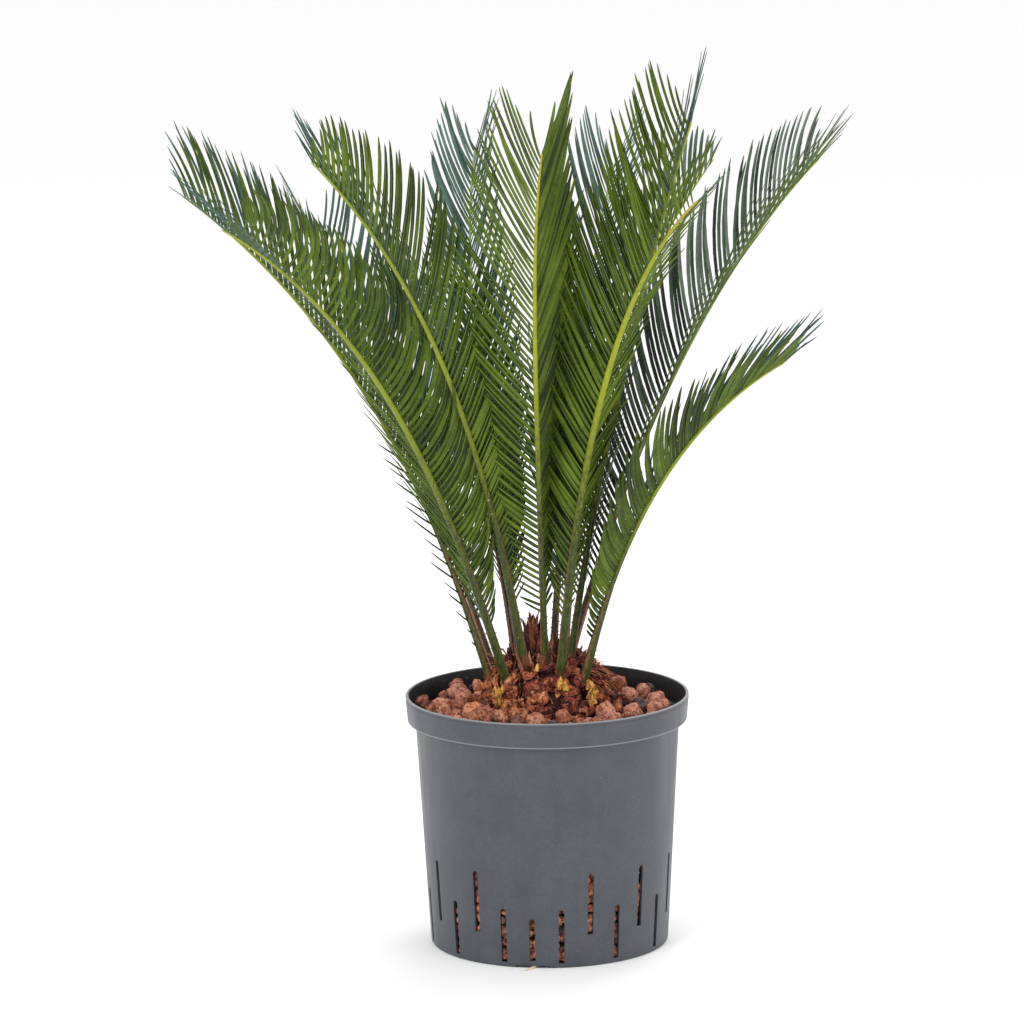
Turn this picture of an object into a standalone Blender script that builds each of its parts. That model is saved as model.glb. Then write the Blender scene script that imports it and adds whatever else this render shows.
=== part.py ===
"""A young sago palm, Cycas revoluta, growing in clay granules in a grey plastic culture pot.

Metres, Z up, the front towards -Y. The pot stands on the origin. Each frond is one thin blade of its
outline: a petiole that widens into two wings, one on each side of the rib, with the wings raised like
the two rows of leaflets that they stand for.
"""
import math
from typing import NamedTuple

import bmesh
import bpy
from mathutils import Matrix, Vector
from mathutils.kdtree import KDTree

# The gap left between pieces that touch
CLEARANCE = 0.0003

# The pot
POT_HEIGHT = 0.196
RIM_RADIUS = 0.110
COLLAR_FOOT_RADIUS = 0.1085
COLLAR_HEIGHT = 0.020
BODY_TOP_RADIUS = 0.1024
BASE_RADIUS = 0.0925
BASE_ROUNDING = 0.002
WALL = 0.002
LIP = 0.0025
FLOOR = 0.0025
POT_SIDES = 78

# The drain slots round the foot of the pot, and the two notches under it
SLOT_COUNT = 26
SLOT_WIDTH = 0.0045
FIRST_SLOT_ANGLE = -98.6
HIGH_SLOT = (0.0258, 0.0740)
LOW_SLOT = (0.0040, 0.0465)
NOTCH_SLOT = (0.0060, 0.0397)
NOTCH_WIDTH = 0.026
NOTCH_HEIGHT = 0.002
NOTCH_DEPTH = 0.006

# The clay granules, taken as one mass
FILL_LEVEL = 0.182
FILL_SWELL = 0.006
FILL_FLAT_RADIUS = 0.056

# The trunk, a short caudex: its radius at each height over the granules, from the flared foot up
CAUDEX_PROFILE = (
    (0.0495, 0.000),
    (0.0480, 0.006),
    (0.0455, 0.014),
    (0.0450, 0.024),
    (0.0420, 0.034),
    (0.0340, 0.042),
    (0.0200, 0.048),
    (0.0080, 0.050),
)
CAUDEX_LEAN = -0.002
CAUDEX_SIDES = 24

# The tuft of dry scale leaves in the middle of the fronds
TUFT_PLACE = (-0.0105, -0.0025)
TUFT_RADIUS = 0.0075
TUFT_FOOT = 0.2305
TUFT_TOP = 0.2600

# What all fronds share
PETIOLE_WIDTH = 0.0074
PETIOLE_THICKNESS = 0.0050
RIB_THICKNESS_AT_TIP = 0.0018
BLADE_THICKNESS = 0.0012
ROOTED = 0.010
RIB_STEPS = 120
BLADE_STATIONS = 15
KEEP_APART = 0.0045


class Frond(NamedTuple):
    """The sizes of one frond. Angles are in degrees and headings are anticlockwise from +X.

    Left and right are as seen from the foot, along the frond.
    """

    name: str
    foot_radius: float
    foot_heading: float
    foot_height: float
    heading: float
    lean_at_foot: float
    lean_at_tip: float
    length: float
    bend: float
    sway: float
    leaflet: float
    spread_at_foot: float
    spread_at_tip: float
    raised: float
    roll_at_foot: float
    roll_at_tip: float
    curl_left: float
    curl_right: float
    shortening: float


FRONDS = (
    Frond("frond_left_outer", 0.045, 182, 0.212, 186, 17, 52.5, 0.450, 1.5, 2.5,
          leaflet=0.108, spread_at_foot=42, spread_at_tip=31, raised=48,
          roll_at_foot=4, roll_at_tip=0, curl_left=14, curl_right=14, shortening=0.22),
    Frond("frond_left_front", 0.040, 222, 0.207, 215.5, 19.5, 61.5, 0.473, 1.75, 6.5,
          leaflet=0.092, spread_at_foot=42, spread_at_tip=44, raised=27,
          roll_at_foot=34, roll_at_tip=-4, curl_left=64, curl_right=8, shortening=0.15),
    Frond("frond_front_left", 0.032, 235, 0.231, 235.5, 15.5, 54.5, 0.497, 1.3, -0.5,
          leaflet=0.104, spread_at_foot=46, spread_at_tip=26, raised=58,
          roll_at_foot=10, roll_at_tip=-6, curl_left=15, curl_right=10, shortening=0.50),
    Frond("frond_front", 0.031, 267, 0.232, 265, 14.5, 49, 0.487, 1.3, 10.5,
          leaflet=0.106, spread_at_foot=72, spread_at_tip=20, raised=48,
          roll_at_foot=27, roll_at_tip=8, curl_left=14, curl_right=14, shortening=0.08),
    Frond("frond_front_right", 0.037, 286, 0.220, 294, 13, 63, 0.483, 1.55, -1,
          leaflet=0.096, spread_at_foot=50, spread_at_tip=42, raised=48,
          roll_at_foot=-20, roll_at_tip=-8, curl_left=18, curl_right=18, shortening=0.30),
    Frond("frond_front_right_inner", 0.026, 316, 0.230, 306, 13.5, 37, 0.475, 1.3, -15.5,
          leaflet=0.106, spread_at_foot=50, spread_at_tip=34, raised=58,
          roll_at_foot=-20, roll_at_tip=12, curl_left=15, curl_right=15, shortening=0.34),
    Frond("frond_right_low", 0.036, 318, 0.208, 330, 16.5, 61, 0.328, 1.5, -4.5,
          leaflet=0.084, spread_at_foot=68, spread_at_tip=28, raised=30,
          roll_at_foot=8, roll_at_tip=12, curl_left=40, curl_right=72, shortening=0.15),
    Frond("frond_right_inner", 0.016, 18, 0.232, 19.5, 4.5, 40.5, 0.399, 1.5, 3.5,
          leaflet=0.064, spread_at_foot=46, spread_at_tip=30, raised=48,
          roll_at_foot=0, roll_at_tip=0, curl_left=16, curl_right=16, shortening=0.30),
    Frond("frond_right_back", 0.027, 37, 0.233, 40, 23.5, 64.5, 0.463, 1.5, 12,
          leaflet=0.100, spread_at_foot=46, spread_at_tip=21, raised=48,
          roll_at_foot=4, roll_at_tip=-6, curl_left=30, curl_right=30, shortening=0.30),
    Frond("frond_back_right", 0.013, 65, 0.226, 75.5, 15, 64, 0.450, 1.2, 5,
          leaflet=0.098, spread_at_foot=46, spread_at_tip=25, raised=48,
          roll_at_foot=6, roll_at_tip=-4, curl_left=15, curl_right=15, shortening=0.20),
    Frond("frond_back", 0.036, 134, 0.224, 104.5, 30, 52.5, 0.468, 1.25, -21,
          leaflet=0.098, spread_at_foot=45, spread_at_tip=27, raised=46,
          roll_at_foot=3, roll_at_tip=-9, curl_left=15, curl_right=15, shortening=0.36),
    Frond("frond_back_left", 0.044, 158, 0.212, 134.5, 27, 50, 0.393, 1.4, -18,
          leaflet=0.088, spread_at_foot=44, spread_at_tip=32, raised=50,
          roll_at_foot=0, roll_at_tip=0, curl_left=16, curl_right=16, shortening=0.30),
    Frond("frond_back_left_inner", 0.026, 168, 0.229, 160, 8, 40, 0.310, 1.5, 0,
          leaflet=0.074, spread_at_foot=45, spread_at_tip=32, raised=48,
          roll_at_foot=0, roll_at_tip=0, curl_left=16, curl_right=16, shortening=0.30),
)

# The part of a frond's length that is bare petiole
PETIOLE_SHARE = 0.15


def clear_scene():
    for item in list(bpy.data.objects):
        bpy.data.objects.remove(item)


def material(name, colour, roughness):
    made = bpy.data.materials.new(name)
    made.use_nodes = True
    shader = made.node_tree.nodes["Principled BSDF"]
    shader.inputs["Base Color"].default_value = (*colour, 1)
    shader.inputs["Roughness"].default_value = roughness
    shader.inputs["Metallic"].default_value = 0
    return made


def place_mesh(name, mesh, finish):
    """Puts a bmesh in the scene as a named object with faces that point out."""
    bmesh.ops.recalc_face_normals(mesh, faces=mesh.faces)
    data = bpy.data.meshes.new(name)
    mesh.to_mesh(data)
    mesh.free()
    data.materials.append(finish)
    item = bpy.data.objects.new(name, data)
    bpy.context.collection.objects.link(item)
    return item


def turned(name, outline, sides, finish):
    """A solid of revolution about Z from (radius, height) points that run from axis to axis."""
    mesh = bmesh.new()
    rings = []
    for radius, height in outline:
        if radius == 0:
            rings.append([mesh.verts.new((0, 0, height))])
            continue
        turns = [2 * math.pi * k / sides for k in range(sides)]
        rings.append([mesh.verts.new((radius * math.cos(a), radius * math.sin(a), height)) for a in turns])
    for low, high in zip(rings, rings[1:]):
        for k in range(sides):
            n = (k + 1) % sides
            corners = [low[k % len(low)], low[n % len(low)], high[n % len(high)], high[k % len(high)]]
            mesh.faces.new(list(dict.fromkeys(corners)))
    return place_mesh(name, mesh, finish)


def cut_with(item, cutter):
    """Takes the cutter's shape out of the item, and leaves the cutter as a hidden helper."""
    cut = item.modifiers.new("Cut " + cutter.name, "BOOLEAN")
    cut.operation = "DIFFERENCE"
    cut.solver = "EXACT"
    cut.object = cutter
    cutter.hide_render = True
    cutter.display_type = "WIRE"


def inner_radius(height):
    """The pot's inner radius under its collar."""
    share = height / (POT_HEIGHT - COLLAR_HEIGHT)
    return BASE_RADIUS + (BODY_TOP_RADIUS - BASE_RADIUS) * share - WALL


def slot_cutter(mesh, angle, low, high):
    """Adds one upright slot with a round top, as a prism that runs out through the wall."""
    half = SLOT_WIDTH / 2
    arch = [math.pi * k / 6 for k in range(7)]
    outline = [(-half, low), (half, low)]
    outline += [(half * math.cos(a), high - half + half * math.sin(a)) for a in arch]
    turn = Matrix.Rotation(math.radians(angle), 3, "Z")
    near, far = BASE_RADIUS - 0.012, RIM_RADIUS + 0.002
    inside = [mesh.verts.new(turn @ Vector((near, across, up))) for across, up in outline]
    outside = [mesh.verts.new(turn @ Vector((far, across, up))) for across, up in outline]
    mesh.faces.new(inside)
    mesh.faces.new(outside)
    for k in range(len(outline)):
        n = (k + 1) % len(outline)
        mesh.faces.new((inside[k], inside[n], outside[n], outside[k]))


def notch_cutter(mesh, angle):
    """Adds one shallow notch in the underside's edge."""
    size = (2 * NOTCH_DEPTH, NOTCH_WIDTH, 2 * NOTCH_HEIGHT)
    shift = Matrix.Rotation(math.radians(angle), 4, "Z") @ Matrix.Translation((BASE_RADIUS, 0, 0))
    bmesh.ops.create_cube(mesh, size=1, matrix=shift @ Matrix.Diagonal((*size, 1)))


def build_pot(finish):
    collar_foot = POT_HEIGHT - COLLAR_HEIGHT
    ledge = collar_foot + WALL
    corner = BASE_RADIUS - BASE_ROUNDING
    outline = [(0, 0), (corner, 0)]
    for k in range(1, 4):
        a = math.pi / 2 * k / 3
        outline.append((corner + BASE_ROUNDING * math.sin(a), BASE_ROUNDING * (1 - math.cos(a))))
    outline += [
        (BODY_TOP_RADIUS, collar_foot),
        (COLLAR_FOOT_RADIUS, collar_foot),
        (RIM_RADIUS, POT_HEIGHT - 0.0012),
        (RIM_RADIUS - 0.0012, POT_HEIGHT),
        (RIM_RADIUS - LIP + 0.0006, POT_HEIGHT),
        (RIM_RADIUS - LIP, POT_HEIGHT - 0.0008),
        (COLLAR_FOOT_RADIUS - LIP, ledge),
        (inner_radius(ledge), ledge),
        (inner_radius(FLOOR), FLOOR),
        (0, FLOOR),
    ]
    pot = turned("pot", outline, POT_SIDES, finish)
    slots, notches = bmesh.new(), bmesh.new()
    for k in range(SLOT_COUNT):
        angle = FIRST_SLOT_ANGLE + 360 * k / SLOT_COUNT
        span = HIGH_SLOT if k % 2 == 0 else LOW_SLOT
        if k % (SLOT_COUNT // 2) == 0:
            span = NOTCH_SLOT
            notch_cutter(notches, angle)
        slot_cutter(slots, angle, *span)
    cut_with(pot, place_mesh("slot_cutter", slots, finish))
    cut_with(pot, place_mesh("notch_cutter", notches, finish))
    return pot


def build_fill(finish):
    """The granules: flat under the trunk, uneven towards the wall and heaped a little at the back."""
    foot = FLOOR + CLEARANCE
    ledge = POT_HEIGHT - COLLAR_HEIGHT + WALL + CLEARANCE
    wide = COLLAR_FOOT_RADIUS - LIP - CLEARANCE
    outline = [
        (0, foot),
        (inner_radius(foot) - CLEARANCE, foot),
        (inner_radius(ledge) - CLEARANCE, ledge),
        (wide, ledge),
        (wide, FILL_LEVEL),
        (0.092, FILL_LEVEL),
        (0.075, FILL_LEVEL),
        (FILL_FLAT_RADIUS, FILL_LEVEL),
        (0, FILL_LEVEL),
    ]
    fill = turned("clay_granules", outline, 36, finish)
    for corner in fill.data.vertices:
        x, y, z = corner.co
        radius = math.hypot(x, y)
        if z > FILL_LEVEL - 0.001 and radius > FILL_FLAT_RADIUS + 0.001:
            turn = math.atan2(y, x)
            corner.co.z += FILL_SWELL * (0.5 + 0.5 * math.sin(turn))
            corner.co.z += 0.0012 * math.sin(7 * turn + radius * 90)
    return fill


def caudex_outline(grow=0.0):
    """The trunk's outline, or one that is larger by grow all round."""
    outline = [(0, FILL_LEVEL + CLEARANCE - grow)]
    for radius, height in CAUDEX_PROFILE:
        outline.append((radius + grow, FILL_LEVEL + CLEARANCE + height + (grow if height else -grow)))
    outline.append((0, outline[-1][1] + 0.0005))
    return outline


def lean_caudex(item):
    """Leans the trunk a little, and makes its sides uneven, the same for the trunk and its cutter."""
    for corner in item.data.vertices:
        x, y, z = corner.co
        up = max(0.0, z - FILL_LEVEL)
        turn = math.atan2(y, x)
        swell = 1 + 0.035 * math.sin(3 * turn + 0.8) + 0.025 * math.sin(5 * turn + up * 60)
        corner.co.x = x * swell + CAUDEX_LEAN * up / 0.05
        corner.co.y = y * swell


def build_caudex(finish):
    caudex = turned("caudex", caudex_outline(), CAUDEX_SIDES, finish)
    lean_caudex(caudex)
    return caudex


def seat_cutter(finish):
    """The trunk's shape with the clearance round it: what stands on the trunk is cut with this."""
    cutter = turned("seat_cutter", caudex_outline(CLEARANCE), CAUDEX_SIDES, finish)
    lean_caudex(cutter)
    return cutter


def build_tuft(finish, cutter):
    """The dry scale leaves: a narrow bundle that is widest near its foot and ends in a ragged top."""
    steps = ((0.8, 0.0), (1.0, 0.3), (0.95, 0.6), (0.65, 0.85), (0.3, 1.0))
    height = TUFT_TOP - TUFT_FOOT
    outline = [(0, TUFT_FOOT)]
    outline += [(TUFT_RADIUS * wide, TUFT_FOOT + height * up) for wide, up in steps]
    outline.append((0, TUFT_TOP))
    tuft = turned("crown_tuft", outline, 12, finish)
    for corner in tuft.data.vertices:
        turn = math.atan2(corner.co.y, corner.co.x)
        uneven = 1 + 0.12 * math.sin(4 * turn)
        corner.co.x = corner.co.x * uneven + TUFT_PLACE[0]
        corner.co.y = corner.co.y * uneven + TUFT_PLACE[1]
    cut_with(tuft, cutter)
    return tuft


def rib_line(frond):
    """Points of the frond's rib with its frame: place, along, sideways and inward, at even steps."""
    a = math.radians(frond.foot_heading)
    place = Vector((frond.foot_radius * math.cos(a), frond.foot_radius * math.sin(a), frond.foot_height))
    line = []
    step = frond.length / RIB_STEPS
    for k in range(RIB_STEPS + 1):
        share = k / RIB_STEPS
        lean = math.radians(frond.lean_at_foot + (frond.lean_at_tip - frond.lean_at_foot) * share**frond.bend)
        head = math.radians(frond.heading + frond.sway * share**1.5)
        along = Vector((math.sin(lean) * math.cos(head), math.sin(lean) * math.sin(head), math.cos(lean)))
        sideways = Vector((-math.sin(head), math.cos(head), 0))
        inward = sideways.cross(along) * -1
        line.append((place.copy(), along, sideways, inward))
        place += along * step
    return line


def leaflet_length(frond, u):
    """Leaflets are short at the start of the blade, longest along its middle, and shorter at its tip."""
    rise = min(1.0, 0.45 + 2.2 * u, 0.62 + 0.85 * u)
    fall = 1 - frond.shortening * max(0.0, (u - 0.6) / 0.4) ** 1.6
    tip_drop = min(1.0, 0.35 + 0.65 * (1 - u) / 0.06)
    return frond.leaflet * rise * fall * tip_drop


def leaflet_line(frond, station, u, side, steps=8):
    """The curved line of the leaflet that leaves the rib at a station, on side -1 or 1."""
    place, along, sideways, inward = station
    roll = math.radians(frond.roll_at_foot + (frond.roll_at_tip - frond.roll_at_foot) * u)
    across = sideways * math.cos(roll) + inward * math.sin(roll)
    upward = inward * math.cos(roll) - sideways * math.sin(roll)
    raised = math.radians(frond.raised)
    out = across * side * math.cos(raised) + upward * math.sin(raised)
    spread = frond.spread_at_foot + (frond.spread_at_tip - frond.spread_at_foot) * u**0.8
    curl = frond.curl_left if side > 0 else frond.curl_right
    step = leaflet_length(frond, u) / steps
    points = [place]
    for k in range(steps):
        angle = math.radians(spread + curl * (0.5 - (k + 0.5) / steps))
        points.append(points[-1] + (along * math.cos(angle) + out * math.sin(angle)) * step)
    return points, out, upward


def free_share(points, own, others):
    """How much of a leaflet line is nearer to its own rib than to any other, up to all of it."""
    last = len(points) - 1
    for k in range(1, last + 1):
        mine = own.find(points[k])[2]
        near = min(tree.find(points[k])[2] for tree in others)
        if near - mine < KEEP_APART:
            return (k - 1) / last
    return 1.0


def point_at(points, share):
    """The point at a share of the way along a line of points."""
    at = share * (len(points) - 1)
    k = min(int(at), len(points) - 2)
    return points[k].lerp(points[k + 1], at - k)


def petiole_section(station, width, thickness):
    """Five top and five bottom points across the bare petiole."""
    place, _, sideways, inward = station
    top, bottom = [], []
    for share in (-1, -0.5, 0, 0.5, 1):
        middle = place + sideways * width / 2 * share
        rise = inward * thickness / 2 * (1 - 0.5 * abs(share))
        top.append(middle + rise)
        bottom.append(middle - rise)
    return top, bottom


def blade_section(frond, station, u, shares):
    """Five top and five bottom points across the blade, out to the ends of its leaflet lines."""
    place, along, _, _ = station
    thick = PETIOLE_THICKNESS + (RIB_THICKNESS_AT_TIP - PETIOLE_THICKNESS) * u
    top, bottom = [None] * 5, [None] * 5
    for side, share in zip((-1, 1), shares):
        points, out, upward = leaflet_line(frond, station, u, side)
        face = along.cross(out) * side
        for column, part in ((2 + side, 0.5), (2 + 2 * side, 1.0)):
            middle = point_at(points, share * part)
            rise = face * BLADE_THICKNESS / 2 * (1.3 - 0.5 * part)
            top[column] = middle + rise
            bottom[column] = middle - rise
        top[2] = place + upward * thick / 2
        bottom[2] = place - upward * thick / 2
    return top, bottom


def build_frond(frond, line, own, others, finish, cutter):
    """One closed blade, joined up from the petiole's sections and the blade's."""
    start = int(PETIOLE_SHARE * RIB_STEPS)
    place, along, sideways, inward = line[0]
    rooted = (place - along * ROOTED, along, sideways, inward)
    sections = [petiole_section(rooted, PETIOLE_WIDTH, PETIOLE_THICKNESS)]
    for k in (0, start // 2, start - 3):
        sections.append(petiole_section(line[k], PETIOLE_WIDTH, PETIOLE_THICKNESS))
    spans = []
    for k in range(BLADE_STATIONS):
        u = k / (BLADE_STATIONS - 1)
        at = start + round(u * (RIB_STEPS - start))
        shares = [free_share(leaflet_line(frond, line[at], u, side, 24)[0], own, others) for side in (-1, 1)]
        spans.append((at, u, shares))
    for k, (at, u, shares) in enumerate(spans):
        near = spans[max(0, k - 1):k + 2]
        calm = [max(0.06, min(item[2][side] for item in near)) for side in (0, 1)]
        sections.append(blade_section(frond, line[at], u, calm))
    mesh = bmesh.new()
    rows = []
    for top, bottom in sections:
        rows.append([mesh.verts.new(p) for p in top + bottom[::-1]])
    count = len(rows[0])
    for low, high in zip(rows, rows[1:]):
        for k in range(count):
            n = (k + 1) % count
            mesh.faces.new((low[k], low[n], high[n], high[k]))
    for row in (rows[0], rows[-1]):
        for k in range(4):
            mesh.faces.new((row[k], row[k + 1], row[count - 2 - k], row[count - 1 - k]))
    bmesh.ops.triangulate(mesh, faces=mesh.faces)
    blade = place_mesh(frond.name, mesh, finish)
    cut_with(blade, cutter)
    return blade


def build_fronds(finish, cutter):
    lines = {frond.name: rib_line(frond) for frond in FRONDS}
    trees = {}
    for name, line in lines.items():
        tree = KDTree(len(line))
        for k, station in enumerate(line):
            tree.insert(station[0], k)
        tree.balance()
        trees[name] = tree
    for frond in FRONDS:
        others = [tree for name, tree in trees.items() if name != frond.name]
        build_frond(frond, lines[frond.name], trees[frond.name], others, finish, cutter)


def build():
    clear_scene()
    plastic = material("grey plastic", (0.10, 0.115, 0.135), 0.45)
    clay = material("fired clay", (0.28, 0.10, 0.06), 0.95)
    bark = material("brown bark", (0.14, 0.055, 0.028), 0.9)
    scales = material("dry scale leaves", (0.22, 0.10, 0.05), 0.9)
    leaf = material("green leaf", (0.075, 0.14, 0.03), 0.5)
    build_pot(plastic)
    build_fill(clay)
    build_caudex(bark)
    cutter = seat_cutter(bark)
    build_tuft(scales, cutter)
    build_fronds(leaf, cutter)


build()
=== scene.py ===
"""A young sago palm, Cycas revoluta, in its grey culture pot of clay granules.

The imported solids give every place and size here, in metres, Z up, with the front towards -Y. What they
stand for is made piece by piece in the order of the real thing: the pot, the granules in it, the root
that shows under it, the trunk, the tuft of dry scale leaves, and the fronds. The studio comes last.
"""
import math
import random
from typing import NamedTuple

import bmesh
import bpy
from mathutils import Matrix, Quaternion, Vector, noise


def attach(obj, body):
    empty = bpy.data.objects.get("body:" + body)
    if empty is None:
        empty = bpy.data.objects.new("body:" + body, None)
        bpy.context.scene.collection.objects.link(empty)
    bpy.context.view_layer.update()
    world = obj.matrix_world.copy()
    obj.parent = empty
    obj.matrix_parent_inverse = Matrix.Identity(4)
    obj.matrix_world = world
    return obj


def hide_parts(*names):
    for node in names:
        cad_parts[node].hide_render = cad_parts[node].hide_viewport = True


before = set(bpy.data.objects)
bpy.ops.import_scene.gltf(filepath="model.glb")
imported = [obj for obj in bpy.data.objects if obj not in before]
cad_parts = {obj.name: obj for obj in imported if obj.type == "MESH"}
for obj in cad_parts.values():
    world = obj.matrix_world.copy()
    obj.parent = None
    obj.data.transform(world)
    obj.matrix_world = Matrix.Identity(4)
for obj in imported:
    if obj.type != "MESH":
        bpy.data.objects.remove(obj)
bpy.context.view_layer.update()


# The pot is a thin culture pot, moulded in one piece from blue-grey plastic with a satin face.
# A wide collar under its rim stiffens it, and its wall is darker inside: partly a dark inner layer, partly
# painted shade of the pot's inside.
# Drain slots are moulded round its foot, and two shallow notches under it let the water out.
POT_HEIGHT = 0.196
RIM_RADIUS = 0.110
COLLAR_FOOT_RADIUS = 0.1085
COLLAR_HEIGHT = 0.020
BODY_TOP_RADIUS = 0.1024
BASE_RADIUS = 0.0925
WALL = 0.002
LIP = 0.0025
POT_FLOOR = 0.0025
SLOT_COUNT = 26
SLOT_WIDTH = 0.0045
FIRST_SLOT_ANGLE = -98.6
HIGH_SLOT = (0.0258, 0.0740)
LOW_SLOT = (0.0040, 0.0465)
NOTCH_SLOT = (0.0060, 0.0397)
NOTCH_SIZE = (0.012, 0.026, 0.004)
POT_SIDES = 208
SHARPEST_SMOOTH_EDGE = math.radians(32)


class Socket:
    """A value in a node tree. Arithmetic on it in Python adds Math nodes to the tree."""

    def __init__(self, owner, plug):
        self.owner = owner
        self.plug = plug

    def math(self, operation, first, second):
        return self.owner.node("ShaderNodeMath", {"operation": operation}, {0: first, 1: second})

    def __add__(self, other):
        return self.math("ADD", self, other)

    def __sub__(self, other):
        return self.math("SUBTRACT", self, other)

    def __rsub__(self, other):
        return self.math("SUBTRACT", other, self)

    def __mul__(self, other):
        return self.math("MULTIPLY", self, other)

    __radd__ = __add__
    __rmul__ = __mul__


class Tree:
    """A node tree in which one method makes every node."""

    def __init__(self, tree):
        self.tree = tree

    def node(self, kind, settings, inputs, output=0):
        """Adds a node, makes its settings, fills its inputs, and gives back one of its outputs."""
        made = self.tree.nodes.new(kind)
        for name, value in settings.items():
            if name == "stops":
                ramp = made.color_ramp.elements
                while len(ramp) < len(value):
                    ramp.new(0.5)
                for stop, (position, colour) in zip(ramp, value):
                    stop.position = position
                    stop.color = colour
            else:
                setattr(made, name, value)
        for name, value in inputs.items():
            if isinstance(value, Socket):
                self.tree.links.new(value.plug, made.inputs[name])
            else:
                made.inputs[name].default_value = value
        return Socket(self, made.outputs[output])


class Finish(Tree):
    """A surface finish: one shader, and the nodes that vary its colour, gloss and relief."""

    def __init__(self, name, **constants):
        self.material = bpy.data.materials.new(name)
        self.material.use_nodes = True
        super().__init__(self.material.node_tree)
        self.shader = self.tree.nodes["Principled BSDF"]
        for socket, value in constants.items():
            self.shader.inputs[socket.replace("_", " ")].default_value = value

    def place(self, x=1.0, y=1.0, z=1.0):
        """Where a point lies on the piece in metres, stretched along each axis."""
        where = self.node("ShaderNodeTexCoord", {}, {}, "Object")
        return self.node("ShaderNodeVectorMath", {"operation": "MULTIPLY"}, {0: where, 1: (x, y, z)})

    def cloud(self, scale, detail=2, roughness=0.5, where=None):
        inputs = {"Vector": where or self.place(), "Scale": scale, "Detail": detail, "Roughness": roughness}
        return self.node("ShaderNodeTexNoise", {}, inputs)

    def between(self, value, low, high, to_low=0.0, to_high=1.0):
        """The value, taken from one range to another with an easy start and end."""
        inputs = {0: value, 1: low, 2: high, 3: to_low, 4: to_high}
        return self.node("ShaderNodeMapRange", {"interpolation_type": "SMOOTHSTEP"}, inputs)

    def mixed(self, share, first, second):
        inputs = {0: share, 6: first, 7: second}
        return self.node("ShaderNodeMix", {"data_type": "RGBA"}, inputs, 2)

    def ramp(self, value, *stops):
        return self.node("ShaderNodeValToRGB", {"stops": stops}, {0: value})

    def give(self, socket, value):
        self.tree.links.new(value.plug, self.shader.inputs[socket])

    def relief(self, height, depth):
        """Raises the surface by up to the depth, in metres."""
        inputs = {"Height": height, "Distance": depth, "Strength": 1.0}
        self.give("Normal", self.node("ShaderNodeBump", {}, inputs))


def paint(red, green, blue):
    """A colour given as a screen shows it, from 0 to 255, turned into light values."""
    return (*(((part / 255 + 0.055) / 1.055) ** 2.4 for part in (red, green, blue)), 1)


def inner_radius(height):
    """The pot's inner radius under its collar."""
    share = height / (POT_HEIGHT - COLLAR_HEIGHT)
    return BASE_RADIUS + (BODY_TOP_RADIUS - BASE_RADIUS) * share - WALL


def rounded(middle, radius, first, last, steps):
    """Points on a corner's arc, as (radius, height) pairs, between two angles in degrees."""
    turns = [math.radians(first + (last - first) * k / steps) for k in range(steps + 1)]
    return [(middle[0] + radius * math.cos(a), middle[1] + radius * math.sin(a)) for a in turns]


def turned(outline, sides):
    """A mesh of revolution about Z from (radius, height) points that run from axis to axis."""
    mesh = bmesh.new()
    rings = []
    for radius, height in outline:
        if radius == 0:
            rings.append([mesh.verts.new((0, 0, height))])
            continue
        turns = [2 * math.pi * k / sides for k in range(sides)]
        rings.append([mesh.verts.new((radius * math.cos(a), radius * math.sin(a), height)) for a in turns])
    for low, high in zip(rings, rings[1:]):
        for k in range(sides):
            n = (k + 1) % sides
            corners = [low[k % len(low)], low[n % len(low)], high[n % len(high)], high[k % len(high)]]
            mesh.faces.new(list(dict.fromkeys(corners)))
    bmesh.ops.recalc_face_normals(mesh, faces=mesh.faces)
    return mesh


def place_mesh(name, mesh, *finishes):
    """Puts a mesh in the scene as a piece of its own, at the origin."""
    data = bpy.data.meshes.new(name)
    mesh.to_mesh(data)
    mesh.free()
    for finish in finishes:
        data.materials.append(finish.material)
    piece = bpy.data.objects.new(name, data)
    bpy.context.scene.collection.objects.link(piece)
    return piece


def plain_mesh(piece):
    """Leaves the piece with the mesh that its modifiers make, and without the modifiers."""
    scene_now = bpy.context.evaluated_depsgraph_get()
    made = bpy.data.meshes.new_from_object(piece.evaluated_get(scene_now))
    piece.modifiers.clear()
    piece.data = made


def slot_span(number):
    if number % (SLOT_COUNT // 2) == 0:
        return NOTCH_SLOT
    return HIGH_SLOT if number % 2 == 0 else LOW_SLOT


def slot_angle(number):
    return math.radians(FIRST_SLOT_ANGLE + 360 * number / SLOT_COUNT)


def pot_cutter():
    """The slots as upright prisms with round tops, and the notches as blocks, in one mesh."""
    mesh = bmesh.new()
    half = SLOT_WIDTH / 2
    for number in range(SLOT_COUNT):
        low, high = slot_span(number)
        turn = Matrix.Rotation(slot_angle(number), 4, "Z")
        outline = [(-half, low), (half, low)]
        outline += rounded((0, high - half), half, 0, 180, 8)
        ends = []
        for depth in (BASE_RADIUS - 0.012, RIM_RADIUS + 0.002):
            ends.append([mesh.verts.new(turn @ Vector((depth, across, up))) for across, up in outline])
        mesh.faces.new(ends[0])
        mesh.faces.new(ends[1])
        for k in range(len(outline)):
            n = (k + 1) % len(outline)
            mesh.faces.new((ends[0][k], ends[0][n], ends[1][n], ends[1][k]))
        if low == NOTCH_SLOT[0]:
            shift = turn @ Matrix.Translation((BASE_RADIUS, 0, 0)) @ Matrix.Diagonal((*NOTCH_SIZE, 1))
            bmesh.ops.create_cube(mesh, size=1, matrix=shift)
    bmesh.ops.recalc_face_normals(mesh, faces=mesh.faces)
    return mesh


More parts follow.
